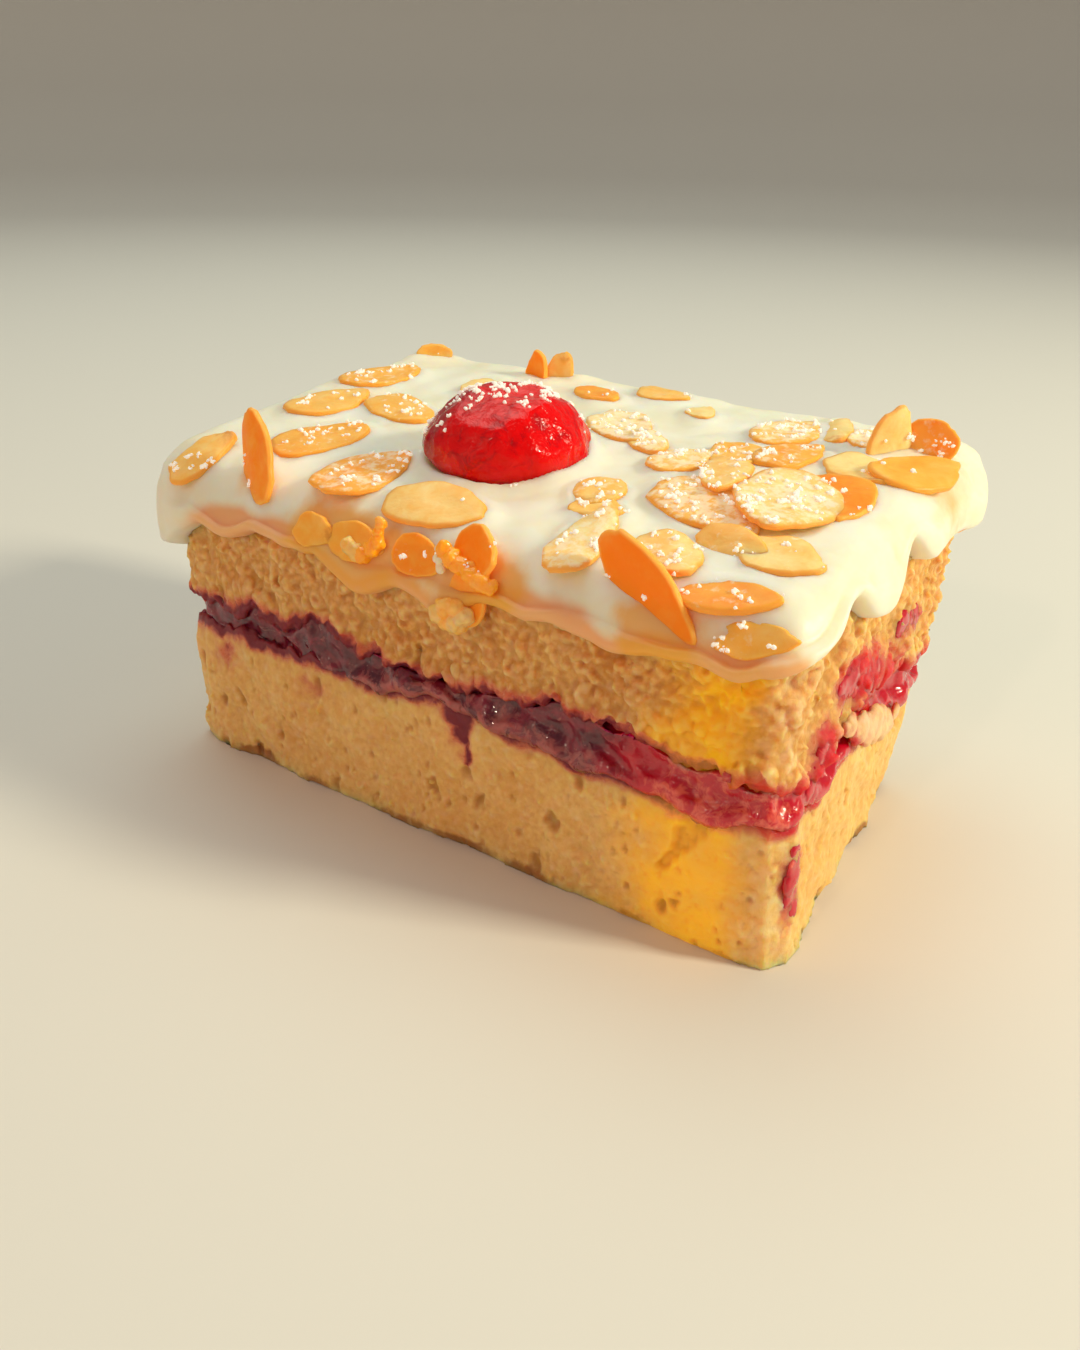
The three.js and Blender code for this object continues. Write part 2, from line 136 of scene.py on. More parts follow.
def round_the_slice(share):
    """A point of the plan, and the way out of it, a share of the way round from the front left."""
    half_x, half_y = LENGTH / 2, (BACK_TOP - FRONT) / 2
    in_x, in_y = half_x - CORNER, half_y - CORNER
    arc = math.pi * CORNER / 2
    far = share * (4 * (in_x + in_y) + 4 * arc)
    side = 0
    straight = 2 * in_x
    while far > straight + arc and side < 3:
        far -= straight + arc
        side += 1
        straight = 2 * (in_y if side % 2 else in_x)
    reach = half_x if side % 2 else half_y
    bend = max(0, far - straight) / CORNER
    out = Vector((math.sin(bend), -math.cos(bend)))
    point = Vector((min(far, straight) - straight / 2, CORNER - reach)) + CORNER * out
    turn = Matrix.Rotation(side * math.pi / 2, 2)
    return turn @ point + Vector((0, FRONT + half_y)), turn @ out


def depth_inside(place):
    """How far a place is inside the cut sides."""
    rise = min(place.z / CUT_HEIGHT, 1)
    back = mix(BACK_FOOT, BACK_TOP, rise)
    return min(LENGTH / 2 - abs(place.x), place.y - FRONT, back - place.y)


# ------------------------------------------------------------------------ material workshop

# Sockets of a Mix node that mixes colours
MIX_SHARE, MIX_FIRST, MIX_SECOND, MIX_RESULT = 0, 6, 7, 2


def colour(red, green, blue):
    """A colour as a screen shows it, 0 to 255, as the shader's linear values."""
    shares = [part / 255 for part in (red, green, blue)]
    linear = [((share + 0.055) / 1.055) ** 2.4 if share > 0.04045 else share / 12.92 for share in shares]
    return (*linear, 1)


BLACK = colour(0, 0, 0)


class Value:
    """A shader socket that works in Python sums: each operator adds its Math node."""

    def __init__(self, finish, socket):
        self.finish = finish
        self.socket = socket

    def math(self, operation, first, second):
        return self.finish.node("ShaderNodeMath", {"operation": operation}, {0: first, 1: second})

    def __add__(self, other):
        return self.math("ADD", self, other)

    def __radd__(self, other):
        return self.math("ADD", other, self)

    def __sub__(self, other):
        return self.math("SUBTRACT", self, other)

    def __rsub__(self, other):
        return self.math("SUBTRACT", other, self)

    def __mul__(self, other):
        return self.math("MULTIPLY", self, other)

    def __rmul__(self, other):
        return self.math("MULTIPLY", other, self)

    def ramped(self, low, high):
        """0 below low, 1 above high and smooth between."""
        return self.finish.node(
            "ShaderNodeMapRange",
            {"interpolation_type": "SMOOTHSTEP"},
            {"Value": self, "From Min": low, "From Max": high},
        )


class Finish:
    """One material. Constants go straight onto its shader, and what varies is linked."""

    def __init__(self, name, **constants):
        self.material = bpy.data.materials.new(name)
        self.material.use_nodes = True
        self.tree = self.material.node_tree
        self.shader = self.tree.nodes["Principled BSDF"]
        for key, value in constants.items():
            self.socket(key).default_value = value
        self.place = self.node("ShaderNodeTexCoord", output="Object")

    def socket(self, key):
        """The shader's socket for a key such as specular_ior_level."""
        return self.shader.inputs[key.replace("_", " ").title().replace("Ior", "IOR")]

    def node(self, kind, settings=None, sockets=None, output=0):
        made = self.tree.nodes.new(kind)
        for key, value in (settings or {}).items():
            setattr(made, key, value)
        for key, value in (sockets or {}).items():
            if isinstance(value, Value):
                self.tree.links.new(value.socket, made.inputs[key])
            else:
                made.inputs[key].default_value = value
        return Value(self, made.outputs[output])

    def set(self, **linked):
        """Links what varies, and gives the material."""
        for key, value in linked.items():
            self.tree.links.new(value.socket, self.socket(key))
        return self.material

    def blobs(self, size, detail=2.0, roughness=0.5, warp=0.0):
        """Noise from 0 to 1, with blobs about so many millimetres wide."""
        return self.node(
            "ShaderNodeTexNoise",
            {},
            {"Vector": self.place, "Scale": 1 / (size * MM), "Detail": detail,
             "Roughness": roughness, "Distortion": warp},
        )

    def cells(self, size):
        """Distance from the middle of irregular cells about so many millimetres wide."""
        return self.node("ShaderNodeTexVoronoi", {}, {"Vector": self.place, "Scale": 1 / (size * MM)})

    def attribute(self, name):
        """A layer of the mesh, or 0 where the mesh doesn't have it."""
        return self.node("ShaderNodeAttribute", {"attribute_name": name}, output="Fac")

    def tint(self, share, first, second):
        """The first colour, turned into the second by a share."""
        sockets = {MIX_SHARE: share, MIX_FIRST: first, MIX_SECOND: second}
        return self.node("ShaderNodeMix", {"data_type": "RGBA"}, sockets, MIX_RESULT)

    def layered(self, tone, *over):
        """A colour with others laid over it, each by its share."""
        for share, next_tone in over:
            tone = self.tint(share, tone, next_tone)
        return tone

    def bumps(self, height, depth, strength=1.0):
        """A Bump node for relief so many millimetres deep."""
        sockets = {"Strength": strength, "Distance": depth * MM, "Height": height}
        return self.node("ShaderNodeBump", {}, sockets)


# ---------------------------------------------------------------------------- the finishes

# Each crumb's colours, the colour of its painted glow where light seems to come through it, the size
# of its grain in mm, how deep its gaps sink and how dark their painted shade is, how many mm light
# scatters in it and how strongly its painted glow shines as emission
LOWER_LOOK = {
    "crumb": colour(248, 206, 130), "shade": colour(236, 180, 100), "painted_glow": colour(255, 184, 44),
    "grain": 0.9, "gappy": 0.1, "scatter": 3.6, "painted_glow_strength": 0.28,
}
UPPER_LOOK = {
    "crumb": colour(242, 193, 116), "shade": colour(224, 158, 78), "painted_glow": colour(255, 184, 4),
    "grain": 0.7, "gappy": 0.42, "scatter": 3.6, "painted_glow_strength": 0.2,
}
FLAP_LOOK = {
    "crumb": colour(246, 196, 142), "shade": colour(240, 168, 120), "painted_glow": BLACK,
    "grain": 0.7, "gappy": 0.2, "scatter": 1.2, "painted_glow_strength": 0.2,
}
CRUMB_TONES = {
    # The gap and pit tones are painted shade in the crumb's gaps, bubbles, creases and crevices
    "gap": colour(196, 128, 52), "torn": colour(250, 226, 184), "pit_shade": colour(182, 112, 30),
    # The bright red jam tone is painted light, for jam in the crumb on the lit right end
    "soaked": colour(212, 96, 84), "dull jam": colour(124, 28, 50), "lit red jam": colour(214, 30, 48),
    "crust": colour(150, 80, 32),
}
# The bright tone is painted light for jam towards the lit right end, and partly thinner jam there
JAM_TONES = {
    "deep": colour(92, 14, 38), "lump": colour(140, 24, 50), "bright": colour(200, 4, 40),
    "pulp": colour(240, 120, 96), "crumby": colour(188, 104, 96),
}
# The peach tone for the lower front is painted warm bounce light and partly cake showing through thin icing
ICING_TONES = {
    "white": colour(250, 246, 228), "cream": colour(245, 236, 208), "thin_and_bounce": colour(252, 180, 126),
    "syrup": colour(252, 172, 44),
}
ALMOND_TONES = {
    "raw": colour(252, 228, 162), "golden": colour(245, 180, 72), "toasted": colour(250, 134, 6),
    "scorched": colour(176, 98, 36), "raw rim": colour(242, 160, 60), "hot rim": colour(253, 190, 96),
    # The raw and hot light tones are the colours of a painted glow
    "sugary": colour(253, 246, 230), "raw painted glow": colour(226, 158, 66), "hot painted glow": colour(255, 128, 0),
}
# The crimson tone is painted shade on the cherry's left
CHERRY_TONES = {"red": colour(228, 0, 2), "shaded_crimson": colour(168, 0, 26), "dark": colour(140, 0, 20)}
SUGAR_TONES = {
    # The light tone is the colour of a painted glow
    "white": colour(255, 254, 250), "shade": colour(248, 240, 226), "light": colour(255, 246, 226),
}
LUMP_TONES = {
    "white": colour(250, 240, 216), "golden": colour(248, 204, 116), "orange": colour(252, 164, 16),
    # The light tone is the colour of a painted glow
    "speckle": colour(224, 148, 60), "light": colour(255, 150, 0),
}
FLOOR_TONE = colour(226, 222, 214)


def sponge_finish(name, crumb, shade, painted_glow, grain, gappy, scatter, painted_glow_strength):
    """Open golden crumb. The mesh says where painted shade darkens its pits, creases and crevices,
    where it is torn pale or has a painted highlight on raised crumbs, where it is soaked with jam
    and where that jam is red with painted light on the lit right end, where it is browned, and where
    a painted glow, in colour and emission, stands for light coming through it. The gaps between its
    grains sink and get painted shade."""
    finish = Finish(
        name,
        subsurface_weight=1.0,
        subsurface_radius=(1.0, 0.45, 0.1),
        subsurface_scale=scatter * MM,
        specular_ior_level=0.3,
        emission_strength=painted_glow_strength,
    )
    # Pits get painted shade, and a painted glow, in colour and emission, stands for light coming through
    pit_shade, soak, painted_glow_layer = (finish.attribute(layer) for layer in ("pit_shade", "soak", "painted_glow"))
    broad = finish.blobs(7, 3)
    fine = finish.blobs(0.9, 3, 0.6)
    speckle = finish.blobs(1.7, 3, 0.6, 0.6)
    # Gaps between grains sink in the relief and get painted shade
    gaps = (finish.cells(grain * 1.5) + finish.blobs(grain, 2) * 0.6 - 0.3).ramped(0.2, 0.75)
    wet = (soak * 1.5 + speckle * 1.1 - 0.87).ramped(0.0, 0.85)
    jammy = (soak * 1.6 + speckle * 1.2 - 1.6).ramped(0.0, 0.6)
    crust = (finish.attribute("crust") * 1.5 + finish.blobs(1.8, 3) - 1.0).ramped(0.0, 0.6)
    mottled = finish.tint((broad * 0.55 + fine * 0.6).ramped(0.35, 0.8), crumb, shade)
    # Jam in the crumb turns bright red with painted light on the lit right end
    jam_tone = finish.tint(finish.attribute("lit_red"), CRUMB_TONES["dull jam"], CRUMB_TONES["lit red jam"])
    return finish.set(
        base_color=finish.layered(
            mottled,
            (gaps * gappy, CRUMB_TONES["gap"]),
            # The pale layer is torn and randomly paler crumb, with a painted highlight on raised crumbs
            (finish.attribute("pale") * 0.7, CRUMB_TONES["torn"]),
            (painted_glow_layer, painted_glow),
            (pit_shade * 0.55, CRUMB_TONES["pit_shade"]),
            (wet * 0.85, CRUMB_TONES["soaked"]),
            (jammy * 0.95, jam_tone),
            (crust * 0.75, CRUMB_TONES["crust"]),
        ),
        roughness=0.56 - wet * 0.36,
        emission_color=finish.tint(painted_glow_layer - pit_shade * 0.5, BLACK, painted_glow),
        normal=finish.bumps(finish.blobs(grain, 5, 0.7) - gaps * gappy, 0.45, 0.6),
    )


def jam_finish(name, scatter):
    """Wet jam. The mesh says where it is bright red, which is painted light of the lit right end and
    partly thinner jam there, where it has pulp in it and where crumb has stuck to its lower lip."""
    finish = Finish(
        name,
        subsurface_weight=0.7,
        subsurface_radius=(1.0, 0.12, 0.14),
        subsurface_scale=scatter * MM,
        specular_ior_level=0.35,
        coat_weight=0.7,
        coat_roughness=0.03,
    )
    by_corner = finish.attribute("bright")
    lumps = finish.blobs(3.0, 3, 0.6, 0.8)
    speckle = finish.blobs(1.5, 3, 0.6, 0.5)
    bright = (by_corner + lumps * 0.7 - 0.35).ramped(0.05, 0.95)
    pulp = (finish.attribute("pulp") * 0.6 + speckle * 2.2 - 1.5).ramped(0.0, 0.5)
    lip = finish.attribute("lip") - by_corner * 0.8
    crumby = (finish.blobs(1.9, 3, 0.6, 0.7) + lip * 0.22 - by_corner * 0.12).ramped(0.56, 0.8)
    return finish.set(
        base_color=finish.layered(
            finish.tint(lumps.ramped(0.35, 0.7), JAM_TONES["deep"], JAM_TONES["lump"]),
            (bright, JAM_TONES["bright"]),
            (pulp * 0.8, JAM_TONES["pulp"]),
            (crumby * (0.7 - by_corner * 0.45), JAM_TONES["crumby"]),
        ),
        roughness=0.14 + crumby * 0.3 + speckle * 0.12,
        normal=finish.bumps(finish.cells(0.9) * 0.4 + speckle * 0.7, 0.35, 0.8),
    )


def icing_finish():
    """Soft white icing. The mesh says where its lower front gets a peach tint, which is painted warm
    bounce light from the crumb and partly thin icing that the cake shows through, and where syrup
    tints it."""
    finish = Finish(
        "icing",
        subsurface_weight=0.85,
        subsurface_radius=(1.0, 0.75, 0.45),
        subsurface_scale=3.5 * MM,
        specular_ior_level=0.45,
    )
    streaks = finish.blobs(9, 3, 0.5, 0.8)
    cream = finish.tint(streaks.ramped(0.3, 0.75), ICING_TONES["white"], ICING_TONES["cream"])
    thin_and_bounce = finish.attribute("thin_and_bounce") * 1.5 + finish.blobs(5, 3, 0.55, 0.5) * 0.7 - 0.45
    sweet = finish.attribute("syrup") * 1.3 + finish.blobs(2.6, 3, 0.6, 0.6) * 0.6 - 0.45
    return finish.set(
        base_color=finish.layered(
            cream,
            (thin_and_bounce.ramped(0.0, 0.9), ICING_TONES["thin_and_bounce"]),
            (sweet.ramped(0.0, 0.9) * 0.8, ICING_TONES["syrup"]),
        ),
        roughness=0.34 + finish.blobs(3, 2) * 0.16,
        normal=finish.bumps(finish.blobs(2.4, 3, 0.5), 0.14, 0.5),
    )


def almond_finish():
    """Flaked almonds. The mesh says how toasted each one is, where its rim is, where it is
    scorched and where sugar has melted on it. All of them glow a little with a painted glow for
    light coming through, more orange the more toasted they are."""
    finish = Finish(
        "almond",
        subsurface_weight=0.8,
        subsurface_radius=(1.0, 0.7, 0.3),
        subsurface_scale=1.0 * MM,
        specular_ior_level=0.2,
        # A painted glow: the almonds shine a little by themselves
        emission_strength=0.13,
    )
    toast = finish.attribute("toast")
    grain = finish.blobs(2.2, 4, 0.6, 0.4)
    warm = (toast + grain * 0.6 - 0.3).ramped(0.0, 0.65)
    hot = (toast + grain * 0.5 - 0.25).ramped(0.5, 1.05)
    sugary = (finish.attribute("dust") * 0.42 + finish.blobs(1.1, 3, 0.6) - 0.74).ramped(0.0, 0.24)
    return finish.set(
        base_color=finish.layered(
            ALMOND_TONES["raw"],
            (warm, ALMOND_TONES["golden"]),
            (hot, ALMOND_TONES["toasted"]),
            (finish.attribute("scorch") * grain.ramped(0.4, 0.6), ALMOND_TONES["scorched"]),
            (finish.attribute("rim") * 0.8,
             finish.tint(hot, ALMOND_TONES["raw rim"], ALMOND_TONES["hot rim"])),
            (sugary * 0.55, ALMOND_TONES["sugary"]),
        ),
        roughness=0.36 + sugary * 0.3,
        emission_color=finish.tint(hot, ALMOND_TONES["raw painted glow"], ALMOND_TONES["hot painted glow"]),
        normal=finish.bumps(grain * 0.5 + finish.blobs(0.6, 2) * 0.4, 0.16, 0.6),
    )


def cherry_finish():
    """Candied skin. The mesh says where it turns crimson: on its left, away from the key lamp, as painted
    shade, and towards its back.
    """
    finish = Finish(
        "cherry",
        subsurface_weight=0.7,
        subsurface_radius=(1.0, 0.03, 0.02),
        subsurface_scale=4.0 * MM,
        specular_ior_level=0.18,
        coat_weight=0.2,
        coat_roughness=0.03,
    )
    skin = finish.blobs(4.5, 3, 0.5, 0.6)
    shaded_crimson = (finish.attribute("shaded_crimson") + skin * 0.9 - 0.45).ramped(0.0, 1.0)
    mottled = finish.blobs(2.4, 4, 0.6, 0.8).ramped(0.5, 0.72)
    dimples = finish.blobs(1.7, 3, 0.6, 0.6) + finish.cells(1.1) * 0.35
    return finish.set(
        base_color=finish.layered(
            CHERRY_TONES["red"], (shaded_crimson, CHERRY_TONES["shaded_crimson"]), (mottled * 0.6, CHERRY_TONES["dark"])
        ),
        roughness=0.1 + finish.blobs(2.2, 2) * 0.14,
        normal=finish.bumps(dimples, 0.55, 0.7),
    )


def sugar_finish():
    finish = Finish(
        "sugar",
        subsurface_weight=0.5,
        subsurface_radius=(1.0, 0.95, 0.85),
        subsurface_scale=1.0 * MM,
        roughness=0.35,
        # A painted glow that keeps the grains bright in shade
        emission_color=SUGAR_TONES["light"],
        emission_strength=0.22,
    )
    grain = finish.blobs(0.3, 2)
    return finish.set(
        base_color=finish.tint(grain, SUGAR_TONES["white"], SUGAR_TONES["shade"]),
        normal=finish.bumps(grain, 0.08, 0.7),
    )


def lump_finish():
    """Bits of almond and crumb stuck in the icing. The mesh says how far each one's colour goes
    from white to a warm orange, and the warm ones shine with a painted glow for light coming
    through them."""
    finish = Finish(
        "lump",
        subsurface_weight=0.9,
        subsurface_radius=(1.0, 0.6, 0.2),
        subsurface_scale=1.2 * MM,
        roughness=0.34,
        coat_weight=0.3,
        coat_roughness=0.1,
        # A painted glow for the warm bits
        emission_strength=0.16,
    )
    warm = finish.attribute("warm")
    return finish.set(
        base_color=finish.layered(
            LUMP_TONES["white"],
            (warm.ramped(0.0, 0.5), LUMP_TONES["golden"]),
            (warm.ramped(0.4, 0.8), LUMP_TONES["orange"]),
            (finish.blobs(0.9, 3).ramped(0.5, 0.9) * 0.5, LUMP_TONES["speckle"]),
        ),
        emission_color=finish.tint(warm.ramped(0.3, 0.8), BLACK, LUMP_TONES["light"]),
        normal=finish.bumps(finish.blobs(0.7, 3), 0.25, 0.7),
    )


# --------------------------------------------------------------------------- mesh workshop


def node_form(name):
    """A merged copy of a solid, in millimetres."""
    form = bmesh.new()
    form.from_mesh(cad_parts[name].data)
    bmesh.ops.remove_doubles(form, verts=form.verts, dist=0.01 * MM)
    bmesh.ops.scale(form, verts=form.verts, vec=(1 / MM, 1 / MM, 1 / MM))
    return form


def mesh_of(form, name):
    """Turns a form into a mesh, and frees the form."""
    mesh = bpy.data.meshes.new(name)
    form.to_mesh(mesh)
    form.free()
    return mesh


def holding(name, data):
    """A new object in the scene that holds a mesh, a lamp or a camera."""
    holder = bpy.data.objects.new(name, data)
    bpy.context.scene.collection.objects.link(holder)
    return holder


def evened(form, face):
    """The same closed form, rebuilt with even faces so many millimetres wide."""
    mesh = mesh_of(form, "form")
    holder = holding("form", mesh)
    remesh = holder.modifiers.new("even", "REMESH")
    remesh.mode = "VOXEL"
    remesh.voxel_size = face
    made = holder.evaluated_get(bpy.context.evaluated_depsgraph_get())
    even = bmesh.new()
    even.from_mesh(made.to_mesh())
    made.to_mesh_clear()
    bpy.data.objects.remove(holder)
    bpy.data.meshes.remove(mesh)
    return even


def smoothed(form, times):
    for _ in range(times):
        bmesh.ops.smooth_vert(
            form, verts=form.verts, factor=0.5, use_axis_x=True, use_axis_y=True, use_axis_z=True
        )
    form.normal_update()


def new_layers(form, *names):
    """Layers of the mesh that the finishes read."""
    return {name: form.verts.layers.float.new(name) for name in names}


def add_ball(form, middle, radius, flat=(1, 1, 1)):
    """A ball that is flattened along an axis where its share there is below 1."""
    placing = Matrix.Translation(middle) @ Matrix.Diagonal((*flat, 1))
    bmesh.ops.create_icosphere(form, subdivisions=3, radius=radius, matrix=placing)


def finished(name, form, material, slot, *nodes):
    """Turns a form into a piece in metres that rides on the slice."""
    bmesh.ops.scale(form, verts=form.verts, vec=(MM, MM, MM))
    for face in form.faces:
        face.smooth = True
    piece = holding(name, mesh_of(form, name))
    piece.data.materials.append(material)
    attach(piece, "root")
    if nodes:
        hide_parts(*nodes)
    return piece


GRAIN_LUMPY = 0.75
GRAIN_STRETCH = (0.75, 1.3)


def grain_shapes(kinds, detail=1):
    """A few lumpy grains of radius 1, each as its corners and its triangles."""
    shapes = []
    for _ in range(kinds):
        form = bmesh.new()
        bmesh.ops.create_icosphere(form, subdivisions=detail, radius=1)
        seed = Vector((DRAW.uniform(0, 90), 0, 0))
        for vert in form.verts:
            vert.co *= 1 + GRAIN_LUMPY * noise.noise(vert.co * 1.2 + seed)
        corners = numpy.array([vert.co[:] for vert in form.verts])
        shapes.append((corners, numpy.array([[vert.index for vert in face.verts] for face in form.faces])))
        form.free()
    return shapes


def strewn(spots, shapes):
    """Grains joined into one form, each with its place and its size."""
    corners, triangles = [], []
    count = 0
    for place, size in spots:
        points, faces = DRAW.choice(shapes)
        turn = Euler([DRAW.uniform(0, 2 * math.pi) for _ in range(3)]).to_matrix()
        stretch = Matrix.Diagonal([size * DRAW.uniform(*GRAIN_STRETCH) for _ in range(3)])
        corners.append(points @ numpy.array(turn @ stretch).T + numpy.array(place))
        triangles.append(faces + count)
        count += len(points)
    mesh = bpy.data.meshes.new("grains")
    mesh.from_pydata(numpy.concatenate(corners).tolist(), [], numpy.concatenate(triangles).tolist())
    form = bmesh.new()
    form.from_mesh(mesh)
    bpy.data.meshes.remove(mesh)
    return form


def plain_core(form, hidden):
    """Swaps the many small faces that nothing shows for one fan at each end of the form."""
    faces = [face for face in form.faces if hidden(face)]
    bmesh.ops.delete(form, geom=faces, context="FACES")
    rim = [edge for edge in form.edges if edge.is_boundary]
    heights = [vert.co.z for edge in rim for vert in edge.verts]
    middle = (min(heights) + max(heights)) / 2
    for upper in (False, True):
        loop = [edge for edge in rim if (edge.verts[0].co.z > middle) == upper]
        made = bmesh.ops.extrude_edge_only(form, edges=loop)["geom"]
        points = [vert for vert in made if isinstance(vert, bmesh.types.BMVert)]
        centre = sum((vert.co for vert in points), Vector()) / len(points)
        bmesh.ops.pointmerge(form, verts=points, merge_co=centre)
    form.normal_update()


def ripple(place, height, size, seed=(0, 0, 0)):
    """Smooth unevenness, so high either way and with lumps about so wide."""
    return height * noise.noise(place / size + Vector(seed))


def drift(place, size, seed=0.0):
    """A smooth sideways shift, each part from -1 to 1."""
    return noise.noise_vector(place / size + Vector((seed, seed, seed)))


def grains(place, size, seed=0.0):
    """Rounded lumps of crumb with narrow creases between them, from 0 to 1."""
    spot = place / size + Vector((seed, seed, seed))
    coarse = abs(noise.noise(spot))
    return min(1, 1.9 * coarse) ** 0.7


# Bubbles in the crumb: how far they are drawn out upwards, how uneven they are and, as shares of
# the distance between them, the smallest radius and how much larger the largest is
BUBBLES = {"upright": 0.62, "uneven": 0.16, "least": 0.14, "more": 0.3}


def holes(place, size, share, seed):
    """1 in the middle of a bubble and 0 away from it. Only a share of the cells has one."""
    upright = Vector((place.x, place.y, place.z * BUBBLES["upright"]))
    warped = upright + drift(place, size * 0.4, seed) * size * BUBBLES["uneven"]
    near, seeds = noise.voronoi(warped / size + Vector((seed, seed, seed)))
    chosen = 0.5 + 0.5 * noise.noise(seeds[0] * 7.31 + Vector((0.37, 0.11, 0.73)))
    if chosen > share:
        return 0
    radius = BUBBLES["least"] + BUBBLES["more"] * chosen / share
    return 1 - smooth_step(near[0], radius * 0.3, radius)


# -------------------------------------------------------------------------------- the cake

JAM_SURFACE = BVHTree.FromBMesh(node_form("jam_layer"))
LOWER_SURFACE = BVHTree.FromBMesh(node_form("sponge_bottom"))
UPPER_SURFACE = BVHTree.FromBMesh(node_form("sponge_top"))

# How far inside the cut sides the crumb's relief fades, and how far inside nothing shows
SKIN = (1.2, 3.2)
CORE = 3.4

# A crack in the lower sponge: x, z and half its width
CRACK = [(36.2, 16.4, 2.2), (35, 13.8, 1.9), (33.8, 11, 0.9), (32.4, 8.6, 0.5)]
CRACK_DEPTH = 0.9

# Places where jam ran or was dragged by the knife: middle, how far it spreads each way and
# how much of it there is
STAINS = [
    ((4.4, -26.4, 18.2), (2.8, 3, 2), 1),
    ((5, -26.4, 16), (2, 3, 2.2), 1),
    ((5.4, -26.4, 13.2), (0.9, 3, 2.6), 0.8),
    ((44.8, -9, 28.4), (3, 5, 3), 1.1),
    ((44.8, -3, 26.6), (3, 5.5, 3.2), 1.1),
    ((44.8, 4, 24.4), (3, 5, 2.8), 0.95),
    ((44.8, -16.5, 22.4), (3, 3.2, 4.2), 1),
    ((44.8, -22.5, 20), (3, 4.2, 3.2), 0.55),
    ((44.8, 10, 28.5), (3, 5.5, 2.3), 0.62),
    ((44.8, 17, 20.6), (3, 4, 2.2), 1),
    ((45, -22.4, 9.5), (3, 2.1, 5.4), 0.8),
    ((-36, -26.4, 14.5), (3, 3, 2.2), 0.5),
    ((-20, -26.4, 14), (4, 3, 1.6), 0.4),
    ((-44, 8, 24), (3, 3, 1.8), 0.9),
    ((18, 24, 14), (2, 3, 3), 0.8),
]

# A painted glow, in colour and emission, where light seems to come through the crumb near the
# right end of the long cut side. Its left edge is at one x low down and at another high up,
# between two z, and it is full so much further on. It fades at the corner, between two x, and
# behind the front, between two -y.
PAINTED_GLOW_PATCH = {"starts": (24.5, 29), "between": (14, 22), "full": 10, "corner": (38.5, 43), "front": (23.5, 26)}

# The left of the long cut side, where the jam is thin: between two -y and two -x
LEFT_FRONT = {"front": (18, 24), "left": (0, 26)}
# The front right corner of the sponge, torn pale: between two x and two -y
TORN_CORNER = {"right": (39.5, 43.5), "front": (20, 25)}
# Jam in the crumb is bright red on the right end, from one x to another: painted light where the key lamp
# falls on that end
LIT_RED = (36, 43)
# How far from the jam the crumb is soaked, and how high the browned crust reaches
SOAKED = (0.2, 2.6)
CRUST = (0.2, 2.4)

# Relief of each sponge in mm. It has even faces, lumps of crumb of a size, hollows and waves
# ("rough", "grain", "fine", "wave"), bubbles ("hole_"), and edges by the seam that stand out
# ("lip") or close over the jam ("closes", and how many times that at the left of the long cut
# side). "crumbs" is the share of places with a lump on the surface, of a radius from a triangle
# of chances, moved out by a share of it. The crevice entry says how strongly hollows get painted
# shade and raised crumbs a painted highlight.
LOWER_CRUMB = {
    "face": 0.3, "grain": 2.4, "rough": 0.18, "fine": 0.08, "wave": 0.35,
    "hole_size": 3.2, "hole_share": 0.46, "hole_depth": 0.6,
    "lip": 0.0, "closes": 0.3, "closes_left": 3.6, "crevice_shading": 0.35,
    "crumbs": 0.14, "crumb_size": (0.25, 0.75, 0.35), "crumb_out": (-0.85, -0.35),
}
UPPER_CRUMB = {
    "face": 0.335, "grain": 2.0, "rough": 0.3, "fine": 0.2, "wave": 0.6,
    "hole_size": 2.6, "hole_share": 0.3, "hole_depth": 0.8,
    "lip": 0.3, "closes": -1, "closes_left": 1, "crevice_shading": 0.5,
    "crumbs": 0.85, "crumb_size": (0.3, 0.9, 0.4), "crumb_out": (-0.75, 0.05),
}
# The step between places that may get a lump, and how sunk a full crevice is, in mm
CRUMB_STEP = 0.8
CREVICE = 0.045
SEAM_REACH = 2.4
FLAT_FOOT = 1.2


def torn(place):
    """How far the seam is pulled up or down where it was cut."""
    return ripple(place, 1.3, 4.5, (9, 4, 1))


def by_left_front(place):
    """1 at the left of the long cut side, where the jam is thin."""
    return smooth_step(-place.y, *LEFT_FRONT["front"]) * smooth_step(-place.x, *LEFT_FRONT["left"])


def overlap(place):
    """How far torn crumb hangs over the jam."""
    level = mix(0.4, 1.35, by_left_front(place))
    ragged = ripple(place, 1.1, 2.5) + ripple(place, 0.7, 1.0)
    return max(-0.5, level + ragged)


def painted_glow_share(place):
    """1 near the right end of the long cut side, where a painted glow stands for light coming through the
    crumb.
    """
    ragged = ripple(place, 5, 6) + ripple(place, 1.5, 1.6)
    starts = mix(*PAINTED_GLOW_PATCH["starts"], smooth_step(place.z, *PAINTED_GLOW_PATCH["between"]))
    ends = 1 - 0.8 * smooth_step(place.x - 0.4 * ragged, *PAINTED_GLOW_PATCH["corner"])
    patches = 0.85 + ripple(place, 0.35, 3.2, (7, 1, 5))
    inwards = smooth_step(place.x + ragged, starts, starts + PAINTED_GLOW_PATCH["full"])
    return patches * inwards * ends * smooth_step(-place.y, *PAINTED_GLOW_PATCH["front"])


def side_share(place):
    """1 at the cut sides, falling to 0 a few millimetres inside."""
    return 1 - smooth_step(depth_inside(place), *SKIN)


def lies_flat_inside(face):
    centre = face.calc_center_median()
    return abs(face.normal.z) > 0.6 and depth_inside(centre) > CORE


